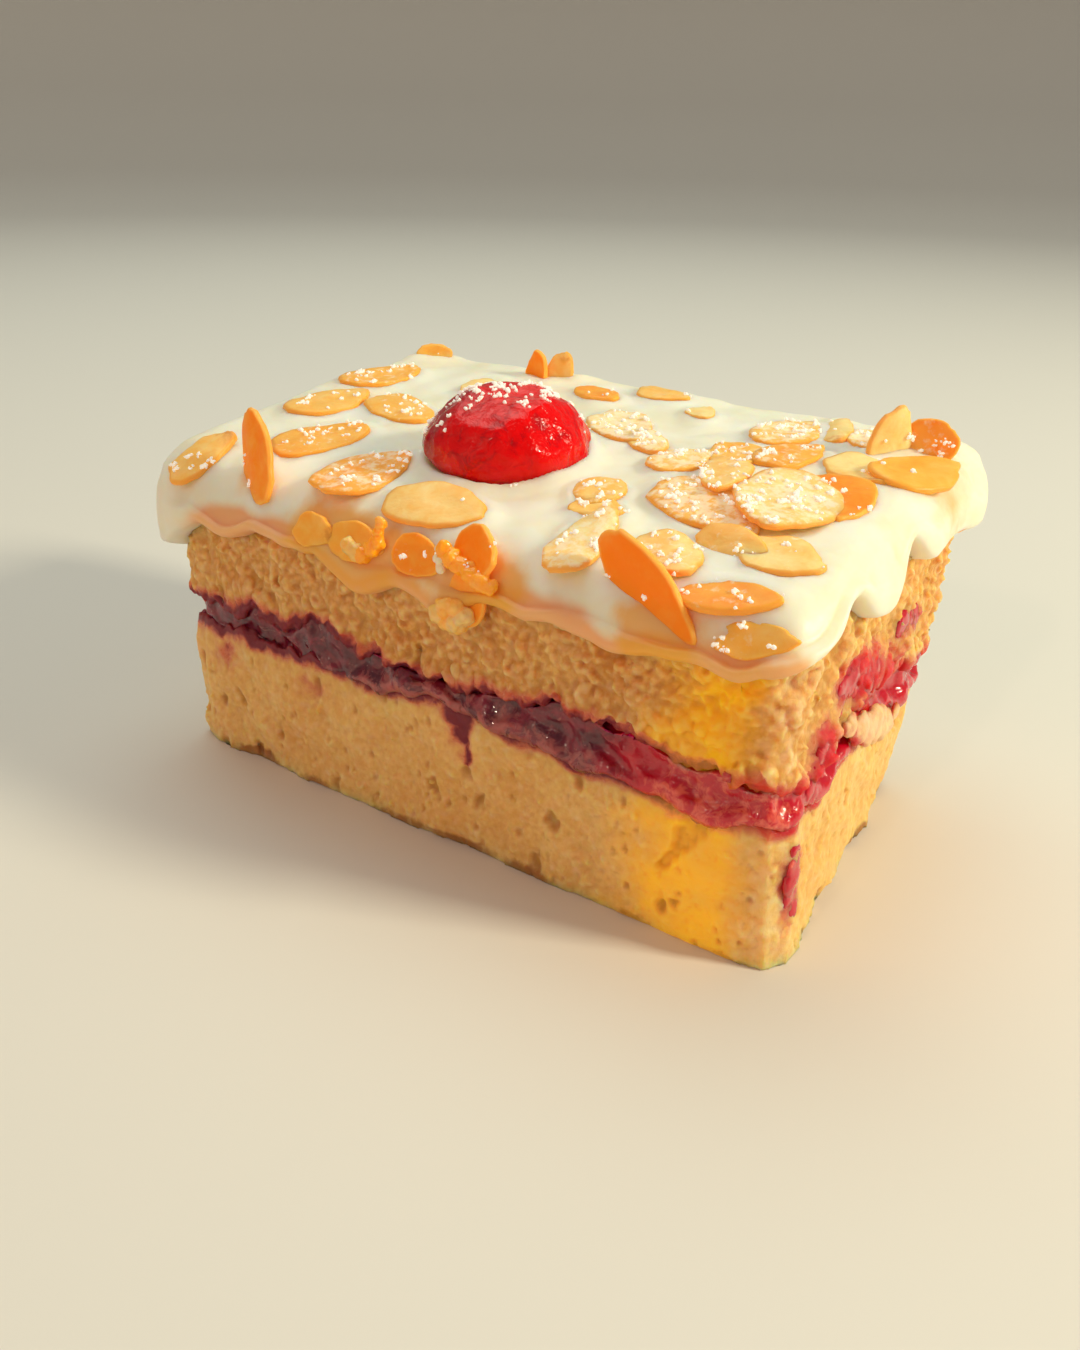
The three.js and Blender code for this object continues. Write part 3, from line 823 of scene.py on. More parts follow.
def crack(place):
    """1 in the crack by the right end of the long cut side, and 0 away from it."""
    if place.y > FRONT + 3:
        return 0
    spot = Vector((place.x, place.z))
    nearest = 1
    for (x, z, wide), (next_x, next_z, next_wide) in zip(CRACK, CRACK[1:]):
        start = Vector((x, z))
        along = Vector((next_x, next_z)) - start
        share = max(0, min(1, (spot - start).dot(along) / along.length_squared))
        off = (spot - start - along * share).length + ripple(place, 0.6, 1.3)
        nearest = min(nearest, off / mix(wide, next_wide, share))
    return 1 - smooth_step(nearest, 0.3, 1.0)


def stain(place):
    """How much jam was spread on a place away from the seam."""
    most = 0
    ragged = place + 1.3 * drift(place, 2.6, 4)
    for middle, (wide, deep, tall), strength in STAINS:
        off = ragged - Vector(middle)
        far = (off.x / wide) ** 2 + (off.y / deep) ** 2 + (off.z / tall) ** 2
        most = max(most, strength * math.exp(-far))
    return most


def with_crumbs(node, relief):
    """The solid with lumps of crumb half sunk in its cut sides, more of them in patches."""
    sampled = evened(node_form(node), CRUMB_STEP)
    sampled.normal_update()
    spots = []
    for vert in sampled.verts:
        place = vert.co.copy()
        patch = 0.6 + ripple(place, 1.1, 6, (3, 8, 5))
        if DRAW.random() > relief["crumbs"] * max(0.15, patch) or side_share(place) < 0.9:
            continue
        if abs(vert.normal.z) > 0.8 or place.z < 1:
            continue
        size = DRAW.triangular(*relief["crumb_size"])
        sunk = vert.normal * size * DRAW.uniform(*relief["crumb_out"])
        spots.append((place + sunk + drift(place * 3, 1) * 0.4, size))
    sampled.free()
    form = strewn(spots, grain_shapes(12, 2))
    whole = mesh_of(node_form(node), "whole")
    form.from_mesh(whole)
    bpy.data.meshes.remove(whole)
    return form


def paint_crumb(vert, layers, to_jam):
    """Says where the crumb is soaked, browned or torn pale, where its jam is bright red with painted
    light on the lit right end, and where a painted glow stands for light coming through it.
    """
    place = vert.co
    torn_off = smooth_step(place.x, *TORN_CORNER["right"]) * smooth_step(-place.y, *TORN_CORNER["front"])
    near_jam = 1 - smooth_step(to_jam, *SOAKED)
    # Painted glow near the right end of the long cut side
    vert[layers["painted_glow"]] = painted_glow_share(place)
    # Jam in the crumb is bright red on the lit right end: painted light
    vert[layers["lit_red"]] = smooth_step(place.x, *LIT_RED)
    vert[layers["pale"]] = max(0, ripple(place, 0.7, 1.1, (5, 5, 5)) - 0.15 + 0.5 * torn_off)
    vert[layers["soak"]] = max(near_jam * mix(1, 1.3, by_left_front(place)), stain(place) * 1.4)
    vert[layers["crust"]] = (1 - smooth_step(place.z, *CRUST)) * (0.5 + ripple(place, 1.3, 9))


def crumb_relief(vert, layers, to_jam, relief, share):
    """How far a place on the cut sides moves, which also says where painted shade darkens its
    bubbles, its creases and its crack.
    """
    place = vert.co
    spot = place + drift(place, 1.6) * 0.5
    rough = 0.6 * grains(spot, relief["grain"]) + 0.4 * grains(spot, relief["grain"] * 0.52, 5)
    hole = holes(place, relief["hole_size"], relief["hole_share"], 3.3)
    small = holes(place, relief["hole_size"] * 0.45, relief["hole_share"], 8.1)
    cleft = crack(place)
    out = relief["rough"] * (rough - 0.5) + ripple(place, relief["wave"], 4.2)
    out += ripple(place, relief["fine"], 0.8)
    out -= max(relief["hole_depth"] * max(hole, 0.45 * small), CRACK_DEPTH * cleft)
    # Painted shade in bubbles, in creases between grains and in the crack
    crease_shade = 0.3 * max(0, 0.3 - rough) / 0.3
    vert[layers["pit_shade"]] = min(1, hole + 0.5 * small + crease_shade + 0.45 * cleft)
    seam = math.exp(-((to_jam / SEAM_REACH) ** 2))
    move = vert.normal * (out + seam * relief["lip"]) * share
    if place.z < FLAT_FOOT:
        move.z = 0
    closes = relief["closes"] * mix(1, relief["closes_left"], by_left_front(place))
    move.z += share * seam * (torn(place) + closes * overlap(place))
    return move


def crevice_shading(form):
    """How sunk each corner is among those round it, for painted shade in crevices and a painted
    highlight on crumbs: 1 in a deep crevice, -1 on a crumb.
    """
    form.normal_update()
    sunk = []
    for vert in form.verts:
        beside = [edge.other_vert(vert) for edge in vert.link_edges]
        middle = sum((other.co for other in beside), Vector()) / len(beside)
        sunk.append(max(-1, min(1, vert.normal.dot(middle - vert.co) / CREVICE)))
    evened_out = []
    for vert, own in zip(form.verts, sunk):
        beside = [sunk[edge.other_vert(vert).index] for edge in vert.link_edges]
        evened_out.append(0.4 * own + 0.6 * sum(beside) / len(beside))
    return evened_out


def sponge(name, node, look, relief):
    form = evened(with_crumbs(node, relief), relief["face"])
    plain_core(form, lies_flat_inside)
    layers = new_layers(form, "pit_shade", "soak", "lit_red", "crust", "painted_glow", "pale")
    moves = []
    for vert in form.verts:
        to_jam = JAM_SURFACE.find_nearest(vert.co)[3]
        paint_crumb(vert, layers, to_jam)
        share = side_share(vert.co)
        if share > 0:
            moves.append((vert, crumb_relief(vert, layers, to_jam, relief, share)))
    for vert, move in moves:
        vert.co += move
        vert.co.z = max(vert.co.z, 0)
    # Painted shade in crevices and a painted highlight on raised crumbs
    for vert, sunk in zip(form.verts, crevice_shading(form)):
        crevice_shade = relief["crevice_shading"] * max(0, sunk - 0.15)
        crumb_highlight = relief["crevice_shading"] * max(0, -sunk - 0.1)
        vert[layers["pit_shade"]] = min(1, vert[layers["pit_shade"]] + crevice_shade)
        vert[layers["pale"]] = min(1, vert[layers["pale"]] + crumb_highlight)
    finished(name, form, sponge_finish(name, **look), "sponge", node)


JAM_FACE = 0.34
JAM_SUNK = 0.6
JAM_LIP = 1.1
# Jam bulges over the lower sponge: within so far of it, and from one x to another
JAM_BULGES = {"above": (3.2, 0.8), "right of": (-26, -6)}
# It is bright red from one x to another, which is painted light of the lit right end and partly
# thinner jam there, and it has pulp in it by the front right corner
JAM_BRIGHT = (20, 32)
JAM_PULP = {"right": (27, 33), "front": (20, 24)}


def jam():
    """The seam of jam, a little sunk between the torn edges of the sponge."""
    form = evened(node_form("jam_layer"), JAM_FACE)
    plain_core(form, lies_flat_inside)
    layers = new_layers(form, "bright", "pulp", "lip")
    moves = []
    for vert in form.verts:
        place = vert.co.copy()
        share = side_share(place)
        if share == 0:
            continue
        to_sponge = LOWER_SURFACE.find_nearest(place)[3]
        lip = smooth_step(to_sponge, *JAM_BULGES["above"]) * smooth_step(place.x, *JAM_BULGES["right of"])
        pulp_from = place.x + ripple(place, 4, 4)
        vert[layers["lip"]] = lip
        # Redder towards the lit right end: painted light, and partly thinner jam
        vert[layers["bright"]] = smooth_step(place.x, *JAM_BRIGHT)
        vert[layers["pulp"]] = (
            smooth_step(pulp_from, *JAM_PULP["right"]) * smooth_step(-place.y, *JAM_PULP["front"])
        )
        lumps = ripple(place, 0.55, 3.0) + ripple(place, 0.22, 1.2)
        move = vert.normal * (lumps - JAM_SUNK + JAM_LIP * lip) * share
        move.z += share * torn(place)
        moves.append((vert, move))
    for vert, move in moves:
        vert.co += move
    finished("jam", form, jam_finish("jam", 3.0), "jam", "jam_layer")


# Bright jam dragged over the right end and out of its seam: middle and radius
SMEARS = [
    ((46, -22.8, 14.2), 0.9), ((46, -22.6, 12.4), 1.4), ((46, -22.4, 10.2), 1.8), ((46, -22, 8), 1.6),
    ((46, -21.6, 6), 1.2), ((44.8, -11.4, 27.6), 2.0), ((44.8, -9, 28), 2.5), ((44.8, -6.4, 27), 2.7),
    ((44.8, -3.6, 26), 2.6), ((44.8, -0.6, 25.6), 2.4), ((44.8, 2.6, 25), 2.1), ((44.8, 6, 24.2), 1.5),
    ((44.8, -11.6, 25.6), 1.2), ((44.8, -14.2, 24.4), 1.5), ((44.8, -16.2, 22.8), 1.8),
    ((44.8, -17.2, 20.8), 1.8), ((44.8, -18.4, 18.8), 1.6), ((44.8, -4.6, 23.6), 1.3),
    ((44.8, -2.4, 21.8), 1.2), ((44.8, 7, 29), 1.9), ((44.8, 10.5, 28), 2.4), ((44.8, 14, 27), 2.0),
    ((44.8, 15, 20.8), 1.4), ((44.8, 18, 21), 1.8), ((44.8, 20.6, 20), 1.5),
]
SMEAR_THICK = 0.3
SMEAR_OUT = -0.1
SMEAR_FACE = 0.24

# A flap of soaked crumb that the knife dragged down over the right end: middle and radius
FLAP = [
    ((44.8, -9.8, 23), 1.5), ((44.8, -7, 21.9), 2.1), ((44.8, -4, 20.6), 2.4), ((44.8, -1, 19.4), 2.5),
    ((44.8, 2, 18), 2.5), ((44.8, 4.8, 16.6), 2.2), ((44.8, 7, 15.6), 1.7), ((44.8, 9.6, 15.8), 1.1),
]
FLAP_THICK = 0.34
FLAP_TALL = 0.8
FLAP_OUT = 0.8
FLAP_FACE = 0.26


def on_the_side(place, out):
    """The nearest place on a cut side, moved out by so many millimetres."""
    hits = [surface.find_nearest(Vector(place)) for surface in (JAM_SURFACE, LOWER_SURFACE, UPPER_SURFACE)]
    spot, outwards, _, _ = min(hits, key=lambda hit: hit[3])
    return spot + outwards * out


def smears():
    form = bmesh.new()
    for middle, radius in SMEARS:
        add_ball(form, on_the_side(middle, SMEAR_OUT), radius, (SMEAR_THICK, 1, 1))
    form = evened(form, SMEAR_FACE)
    form.normal_update()
    layers = new_layers(form, "bright", "pulp")
    for vert in form.verts:
        place = vert.co.copy()
        # Smears on the lit right end get the full painted light
        vert[layers["bright"]] = 1.1
        vert[layers["pulp"]] = 0.25 + noise.noise(place / 2.5)
        vert.co += vert.normal * (ripple(place, 0.3, 2.6) + ripple(place, 0.1, 0.9))
    form.normal_update()
    finished("smears", form, jam_finish("smeared_jam", 0.8), "jam", "jam_layer")


def flap():
    form = bmesh.new()
    for middle, radius in FLAP:
        add_ball(form, on_the_side(middle, FLAP_OUT), radius, (FLAP_THICK, 1, FLAP_TALL))
    form = evened(form, FLAP_FACE)
    form.normal_update()
    layers = new_layers(form, "soak", "lit_red", "pale")
    for vert in form.verts:
        place = vert.co.copy()
        nearest = min((place - Vector(middle)).length / radius for middle, radius in FLAP)
        vert[layers["soak"]] = 0.1 + 0.8 * smooth_step(nearest, 0.7, 1.1) + ripple(place, 0.4, 2)
        # The flap on the lit right end gets the painted light of the jam there
        vert[layers["lit_red"]] = 1
        vert[layers["pale"]] = 1 - 0.6 * nearest
        ragged = ripple(place, 0.9, 1.6) + 0.4 * grains(place, 1.2)
        vert.co += vert.normal * ragged * (1 - 0.6 * abs(vert.normal.x))
    form.normal_update()
    finished("crumb_flap", form, sponge_finish("flap", **FLAP_LOOK), "sponge", "sponge_top")


# ------------------------------------------------------------------------------- the icing

CHERRY = {"x": -2.6, "y": -7.8, "radius": 10.2}
ICING_STEPS = 400
TOP_RINGS = 44
# How far in from the brim the top's rings end and the rim turns down
TOP_INSET = 1.6
BROW = 0.4
LIP_RADIUS = 1.1
# A lobe bulges by a share of its drop up to a limit, and a notch draws the rim in
LOBE_SWELLS = 0.3
LOBE_BULGE = 1.0
NOTCH_PULL = 1.5
# The least height of the hanging side, and how far down it is the widest
LEAST_HANG = 2
BELLY_AT = 0.65
# The inside lies so far in from the line of the sponge's sides, and its roof is lifted so far
INSIDE_INSET = 0.5
ROOF_LIFT = 0.3
# Icing creeps up the cherry and up the edges of almonds: how high, how far out and how wide
CHERRY_CREEP = (1.1, 0.1, 1.1)
ALMOND_CREEP = (0.42, 0.1, 0.85)
# Where it gets a peach tint, painted warm bounce light and partly thin icing over the cake:
# behind the front between two -y, above its edge and along x
THIN_AND_BOUNCE = {"front": (25, 27), "above": (0.6, 4.2), "right of": (-42, -30)}

# Places where syrup from the toppings tints the icing: middle, radius and how strongly
SYRUP = [
    ((-17, -28.6, 37.4), 4, 0.8), ((-12.5, -28.7, 36.5), 4.4, 1), ((-8, -28.8, 36), 4.4, 1),
    ((-4.5, -28.8, 37), 3.6, 0.7), ((1, -28.8, 36.5), 3.4, 0.5), ((8, -28.8, 35.4), 4.6, 1.1),
    ((11, -28.8, 36.4), 3.6, 0.8), ((31.8, -28.6, 36.4), 4, 1), ((28.8, -28.6, 37.4), 3, 0.8),
    ((40.5, -28.6, 37.2), 4, 0.5), ((44, 12, 41), 4.6, 0.6), ((42, 19, 43.5), 4.5, 0.5),
    ((-28.5, -25.5, 40.4), 3, 0.6),
]


def icing_rows():
    """Rows of the icing from the middle of its top, over the rim, down and back up inside: the
    part that each is in, and how far along it."""
    rows = [("top", ring / TOP_RINGS) for ring in range(TOP_RINGS)]
    rows += [("rim", step / 5) for step in range(6)]
    for part, steps in (("hang", 14), ("tuck", 5), ("wall", 4), ("roof", 6)):
        rows += [(part, step / steps) for step in range(1, steps + 1)]
    return rows


def creep(far, high, out, wide):
    """How high icing has crept at a distance from what was pressed into it."""
    return high * math.exp(-(((far - out) / wide) ** 2))


def almond_creep(x, y):
    """The icing creeps up the edge of each almond that was pressed into it."""
    lift = 0
    for almond in ALMONDS:
        if abs(x - almond["x"]) > 11 or abs(y - almond["y"]) > 11:
            continue
        across = almond["inverse"] @ Vector((x - almond["x"], y - almond["y"]))
        spread = math.hypot(across.x / (almond["long"] / 2), across.y / (almond["print"] / 2))
        far = (spread - 1) * almond["print"] / 2
        if -1.5 < far < 2.4:
            lift = max(lift, creep(far, *ALMOND_CREEP))
    return lift


def top_with_ripples(x, y):
    place = Vector((x, y, 0))
    ripples = ripple(place, 0.42, 8) + ripple(place, 0.17, 3.1)
    far = math.hypot(x - CHERRY["x"], y - CHERRY["y"]) - CHERRY["radius"]
    return icing_top(x, y) + ripples + max(creep(far, *CHERRY_CREEP), almond_creep(x, y))


def icing_point(part, along, share):
    """A place on a row that is so far along its part, a share of the way round the slice."""
    at, out = round_the_slice(share)
    brim = at + out * (OVERHANG + ripple(Vector((at.x, at.y, 0)), 0.45, 9))
    bulge = LOBE_BULGE * math.tanh(LOBE_SWELLS * lobe_drop(brim.x, brim.y) / LOBE_BULGE)
    pull = out * NOTCH_PULL * max(0, -bulge)
    if part in ("top", "rim"):
        reach = along if part == "top" else 1
        inset = mix(TOP_INSET, BROW, along)
        plain = (brim - out * TOP_INSET) * reach if part == "top" else brim - out * inset
        near = smooth_step(reach, 0.8, 1.0)
        flat = plain + out * bulge * near * 0.6
        level = plain - pull * near
        return Vector((flat.x, flat.y, top_with_ripples(level.x, level.y)))
    inner = at - out * INSIDE_INSET
    if part == "roof":
        flat = inner * (1 - along)
        return Vector((flat.x, flat.y, icing_crown(flat.y) - ICING_THICK + ROOF_LIFT))
    brow = brim - out * BROW
    highest = top_with_ripples(brow.x - pull.x, brow.y - pull.y)
    edge = icing_edge(brim.x, brim.y) + ripple(Vector((at.x, at.y, 7)), 0.4, 3.5)
    edge = min(edge, highest - LEAST_HANG)
    if part == "wall":
        roof = icing_crown(inner.y) - ICING_THICK + ROOF_LIFT
        return Vector((inner.x, inner.y, mix(edge, roof, along)))
    full = 0.5 + 0.4 * smooth_step(at.x, 40, 44)
    if part == "hang":
        below = along - BELLY_AT
        belly = 1 - (below / BELLY_AT) ** 2 if below < 0 else 1 - 1.2 * below ** 2
        outwards = BROW * smooth_step(along, 0, 0.3) + bulge * (0.6 + 0.4 * belly) + full * belly
        flat = brow + out * outwards
        return Vector((flat.x, flat.y, mix(highest, edge + LIP_RADIUS, along)))
    turn = along * math.pi / 2
    lip = brim + out * (bulge * 0.94 + full * 0.85)
    flat = mix(lip, inner, 1 - math.cos(turn))
    return Vector((flat.x, flat.y, edge + LIP_RADIUS * (1 - math.sin(turn))))


def syrup(place):
    return min(1, sum(strength * math.exp(-((place - Vector(middle)).length / radius) ** 2)
                      for middle, radius, strength in SYRUP))


def icing():
    rows = icing_rows()
    form = bmesh.new()
    last = len(rows) - 1
    bmesh.ops.create_uvsphere(form, u_segments=ICING_STEPS, v_segments=last, radius=1)
    layers = new_layers(form, "thin_and_bounce", "syrup")
    for vert in form.verts:
        ring = round(math.acos(max(-1, min(1, vert.co.z))) / math.pi * last)
        turn = math.atan2(vert.co.y, vert.co.x) / (2 * math.pi)
        vert.co = icing_point(*rows[ring], turn % 1)
        # Peach tint on the lower front: painted warm bounce light, and partly thin icing
        above = vert.co.z - icing_edge(vert.co.x, vert.co.y) + ripple(vert.co, 0.8, 4)
        thin_and_bounce = smooth_step(-vert.co.y, *THIN_AND_BOUNCE["front"]) * (1 - smooth_step(above, *THIN_AND_BOUNCE["above"]))
        vert[layers["thin_and_bounce"]] = thin_and_bounce * smooth_step(vert.co.x, *THIN_AND_BOUNCE["right of"])
        vert[layers["syrup"]] = syrup(vert.co + 0.8 * drift(vert.co, 2))
    form.normal_update()
    finished("icing_coat", form, icing_finish(), "icing", "icing")


# ----------------------------------------------------------------------------- the almonds

# Almonds that lie on the icing: x, y, direction of the long axis, length, width, how far it
# is lifted and rolled, how toasted it is and how much sugar lies on it
LYING = [
    (-1.3, -22.8, 4, 13.7, 7.6, 0, 0, 0.35, 0.05),
    (-14.9, -19.7, 80, 13.4, 10, 0, 0, 0.7, 0.8),
    (-27.5, -14.3, 64, 13.8, 9.4, 0, 0, 0.62, 0.5),
    (-39.2, -24, 71, 10.5, 6, 0, 0, 0.4, 0.2),
    (-36.8, -3.2, 70, 12.5, 9.5, 0, 0, 0.45, 0.2),
    (-25.5, -0.9, -21, 14.5, 7.5, 0, 0, 0.5, 0.5),
    (-39.2, 10.5, 75, 13, 9.5, 0, 0, 0.6, 0.6),
    (-22.2, 12.4, -57, 8.6, 6, 0, 0, 0.2, 0.1),
    (-6.3, 19, -20, 7.9, 5.5, 0, 0, 0.75, 0.2),
    (1.4, 23.7, -10, 8.9, 5.4, 0, 0, 0.45, 0.3),
    (10.2, 18.2, -44, 5.5, 3.8, 0, 0, 0.2, 0.3),
    (4.4, 7.6, -45, 12.5, 8.2, 0, 0, 0.3, 1),
    (10.4, 4.2, -40, 8.5, 5, 0, 0, 0.35, 1),
    (26.2, -9.9, -30, 17.2, 9.8, 0.2, 0, 0.62, 1),
    (24.8, -3.6, -70, 9.5, 6, 1.2, 6, 0.35, 0.6),
    (33.6, -7.1, -80, 15, 11, 1.1, -6, 0.3, 0.9),
    (37.2, -1.2, -66, 13, 8.2, 0.1, 0, 0.9, 0.25),
    (36.2, 8.2, -40, 10.5, 7.2, 0, 0, 0.25, 0.15),
    (17, 0.6, 70, 8.6, 6.7, 0, 0, 0.4, 0.9),
    (27.3, 8.2, 67, 10.3, 6.7, 0.2, 0, 0.7, 0.7),
    (21.7, 5, -85, 8.7, 7, 0, 0, 0.55, 0.6),
    (23.2, 17, 80, 11.4, 8.2, 0, 0, 0.5, 0.9),
    (28.2, 20.2, -67, 9.4, 4.6, 0, 14, 0.25, 0.3),
    (32.8, 19.2, -50, 8.1, 5.4, 0, 0, 0.3, 1),
    (41.8, 10.8, 66, 12.5, 8.4, 0.2, 0, 0.6, 0.05),
    (36.6, -24.6, 12, 10.2, 4.8, 0, -20, 0.75, 0.5),
    (38.2, -17.1, -10, 9.3, 7.2, 0, 0, 0.3, 0.45),
    (32.8, -17.3, -8, 8.6, 4.2, 0.3, 26, 0.45, 0.5),
    (28, -21.6, -30, 8.8, 7, 0, 0, 0.3, 0.6),
    (18.2, -22.4, 88, 11.9, 5.9, 0, 0, 0.25, 0.9),
    (13.4, -12.2, -72, 7.2, 6.3, 0, 0, 0.45, 0.6),
    (15.9, -15.9, 3, 6.6, 5, -0.1, 0, 0.5, 0.3),
    (0.1, -27.4, -4, 7.8, 4.6, 0, 0, 0.85, 0.3),
    (40.6, -26.9, 13, 8.6, 3.5, -0.5, 0, 0.5, 0.4),
    (-15.8, -27.6, -2, 6.2, 4, 0, 0, 0.6, 0.1),
    (-9, -27.6, 1, 8.6, 4.6, 0, 0, 0.65, 0.1),
]

# Almonds that stand in the icing or stick out of it: x, y, z, direction of the long axis,
# pitch, roll, length, width, how toasted it is and how much sugar lies on it
STANDING = [
    (-28.4, -24.7, 42.9, 142, 54.6, -65, 12.6, 6.6, 0.85, 0.15),
    (28.4, -26.4, 40.2, -12, -30, 90, 15, 6.2, 1.0, 0.05),
    (8, -27.4, 39.2, -15, 0, 68, 6.8, 6.2, 0.85, 0.1),
    (7.4, -28.4, 34.8, 0, 82, 92, 8, 5, 0.85, 0),
    (-20.2, 23.6, 47, -10, 80, 90, 6.6, 4.2, 0.9, 0),
    (-16.9, 25, 47.2, 20, 75, 80, 6.6, 4.2, 0.4, 0),
    (36.4, 16.6, 47.4, 60, 75, 80, 8.4, 5.4, 0.2, 0.2),
    (40.2, 18.9, 47, 10, 20, 70, 8, 6.4, 0.75, 0.6),
    (-41, 25, 46.2, 30, 10, 50, 6, 5, 0.5, 0.1),
    (44.4, 17.6, 38.4, 40, 0, 0, 5, 4.4, 0.5, 0),
]

ALMOND_THICK = 1.15
ALMOND_TAPER = 0.22
ALMOND_POINT = 0.16
ALMOND_SHOWS = 0.3
# Ranges of the chances that shape one flake: bend along it and across it, and its thickness
ALMOND_CURL = (-0.1, 0.5)
ALMOND_CUP = (-0.15, 0.2)
ALMOND_EVEN = (0.85, 1.1)
SCORCHED_SHARE = 0.3
# A standing almond marks the icing over this share of its width
STANDING_PRINT = 0.5


def turned(turn, pitch=0.0, roll=0.0):
    radians = math.radians
    about_z = Matrix.Rotation(radians(turn), 4, "Z")
    about_y = Matrix.Rotation(-radians(pitch), 4, "Y")
    return about_z @ about_y @ Matrix.Rotation(radians(roll), 4, "X")


def read_almonds():
    """Every almond with its size, its finish, its print on the icing and what places it."""
    almonds = []
    for x, y, turn, long, wide, lift, roll, toast, sugar in LYING:
        slope = icing_slope(x, y)
        tilt = Vector((0, 0, 1)).rotation_difference(slope).to_matrix().to_4x4()
        middle = Vector((x, y, icing_top(x, y))) + slope * (ALMOND_SHOWS + lift)
        placing = Matrix.Translation(middle) @ tilt @ turned(turn, 0, roll)
        almonds.append({"x": x, "y": y, "turn": turn, "long": long, "wide": wide, "print": wide,
                        "toast": toast, "sugar": sugar, "placing": placing, "lies": True})
    for x, y, z, turn, pitch, roll, long, wide, toast, sugar in STANDING:
        placing = Matrix.Translation((x, y, z)) @ turned(turn, pitch, roll)
        marks = wide * STANDING_PRINT
        almonds.append({"x": x, "y": y, "turn": turn, "long": long, "wide": wide, "print": marks,
                        "toast": toast, "sugar": sugar, "placing": placing, "lies": False})
    for almond in almonds:
        almond["inverse"] = Matrix.Rotation(-math.radians(almond["turn"]), 2)
    return almonds


ALMONDS = read_almonds()


def add_almond(form, almond, layers):
    made = bmesh.ops.create_uvsphere(form, u_segments=36, v_segments=14, radius=1)
    seed = DRAW.uniform(0, 50)
    curl = DRAW.uniform(*ALMOND_CURL)
    cup = DRAW.uniform(*ALMOND_CUP)
    scorched = DRAW.random() < SCORCHED_SHARE
    thick = ALMOND_THICK * DRAW.uniform(*ALMOND_EVEN)
    for vert in made["verts"]:
        x, y, z = vert.co
        spread = math.hypot(x, y)
        angle = math.atan2(y, x)
        round_it = Vector((math.cos(angle), math.sin(angle), seed))
        wobble = 1 + 0.13 * noise.noise(round_it * 1.7)
        wobble += 0.06 * noise.noise(round_it * 4)
        pointed = 1 - ALMOND_TAPER * x - ALMOND_POINT * max(0, x) ** 3
        along = x * wobble
        across = y * pointed * wobble
        half = thick / 2 * math.copysign(abs(z) ** 0.33, z) if abs(z) > 0.0001 else 0
        bend = curl * (along * along - 0.35) + cup * (across * across - 0.3)
        rise = bend + 0.22 * noise.noise(Vector((along * 1.5, across * 1.5, seed)))
        rough = 0.05 * noise.noise(Vector((along * 6, across * 6, seed + z)))
        flat = Vector((along * almond["long"] / 2, across * almond["wide"] / 2, half + rise + rough))
        vert[layers["toast"]] = almond["toast"] + 0.15 * noise.noise(Vector((along, across, seed)) * 1.3)
        vert[layers["rim"]] = smooth_step(spread, 0.88, 1.0)
        vert[layers["dust"]] = almond["sugar"] * (0.35 + 0.65 * max(0, z) ** 0.3) if z > 0 else 0
        vert[layers["scorch"]] = 0.7 * smooth_step(x, 0.35, 1) if scorched else 0
        vert.co = almond["placing"] @ flat


def almond_form():
    form = bmesh.new()
    layers = new_layers(form, "toast", "rim", "dust", "scorch")
    for almond in ALMONDS:
        add_almond(form, almond, layers)
    form.normal_update()
    return form


# ----------------------------------------------------------------------- cherry, sugar, lumps

CHERRY_FACE = 0.34
CHERRY_FACETS = 6.2
# Its foot keeps the solid's form up to one z, and its skin has its full relief above another
CHERRY_SKIN = (43.5, 46)

# Sugar lies in clusters of so many grains, whose radius comes from a triangle of chances
CLUSTERS = (1, 2, 3, 5, 7)
SUGAR_SIZE = (0.08, 0.32, 0.15)
SUGAR_SPREAD = 0.22
SUGAR_PER_SQUARE_MM = 0.8
# Places tried on the cherry's dome and round its foot, how far out they reach, and how far the
# sugary side is turned round
DOME_TRIES, DOME_REACH = 700, 10.3
FOOT_TRIES, FOOT_REACH = 150, 10.5
SUGAR_TURNED = 0.9


def cherry_form():
    """The cherry half, with the dimples and flat places of candied skin."""
    form = evened(node_form("cherry_half"), CHERRY_FACE)
    smoothed(form, 6)
    layers = new_layers(form, "shaded_crimson")
    for vert in form.verts:
        place = vert.co.copy()
        near = noise.voronoi(place / CHERRY_FACETS + Vector((1.7, 2.9, 4.1)))[0]
        flat = 1.2 * (near[0] ** 2 - 0.22)
        dent = ripple(place, 0.35, 3.6) + ripple(place, 0.12, 1.3)
        # Crimson on the left, away from the key lamp, is painted shade
        vert[layers["shaded_crimson"]] = smooth_step(-place.x, 2, 10) + 0.6 * smooth_step(place.y, -6, 4)
        vert.co += vert.normal * (flat + dent) * smooth_step(place.z, *CHERRY_SKIN)
    form.normal_update()
    return form


def sugar_cluster(spots, place, upright):
    """A few grains of sugar side by side."""
    for _ in range(DRAW.choice(CLUSTERS)):
        size = DRAW.triangular(*SUGAR_SIZE)
        beside = Vector([DRAW.gauss(0, SUGAR_SPREAD) for _ in range(3)])
        beside -= upright * beside.dot(upright)
        spots.append((place + beside + upright * size * 0.35, size))


def sugar_on_almonds(spots, surface):
    """In patches, on top of what lies and on the upper face of what stands."""
    for almond in ALMONDS:
        tries = int(almond["long"] * almond["wide"] * almond["sugar"] * SUGAR_PER_SQUARE_MM)
        for _ in range(tries):
            along = DRAW.uniform(-1, 1)
            across = DRAW.uniform(-1, 1)
            if along * along + across * across > 0.92:
                continue
            above = Vector((along * almond["long"] / 2, across * almond["wide"] / 2, 2))
            place = almond["placing"] @ above
            if noise.noise(place / 2.4) + DRAW.uniform(-0.3, 0.5) < 0:
                continue
            down = almond["placing"].to_3x3() @ Vector((0, 0, -1))
            if not almond["lies"] and down.z > 0.2:
                down.negate()
                place -= down * 4
            hit, upright, _, _ = surface.ray_cast(place, down, 4)
            if hit:
                sugar_cluster(spots, hit, upright)


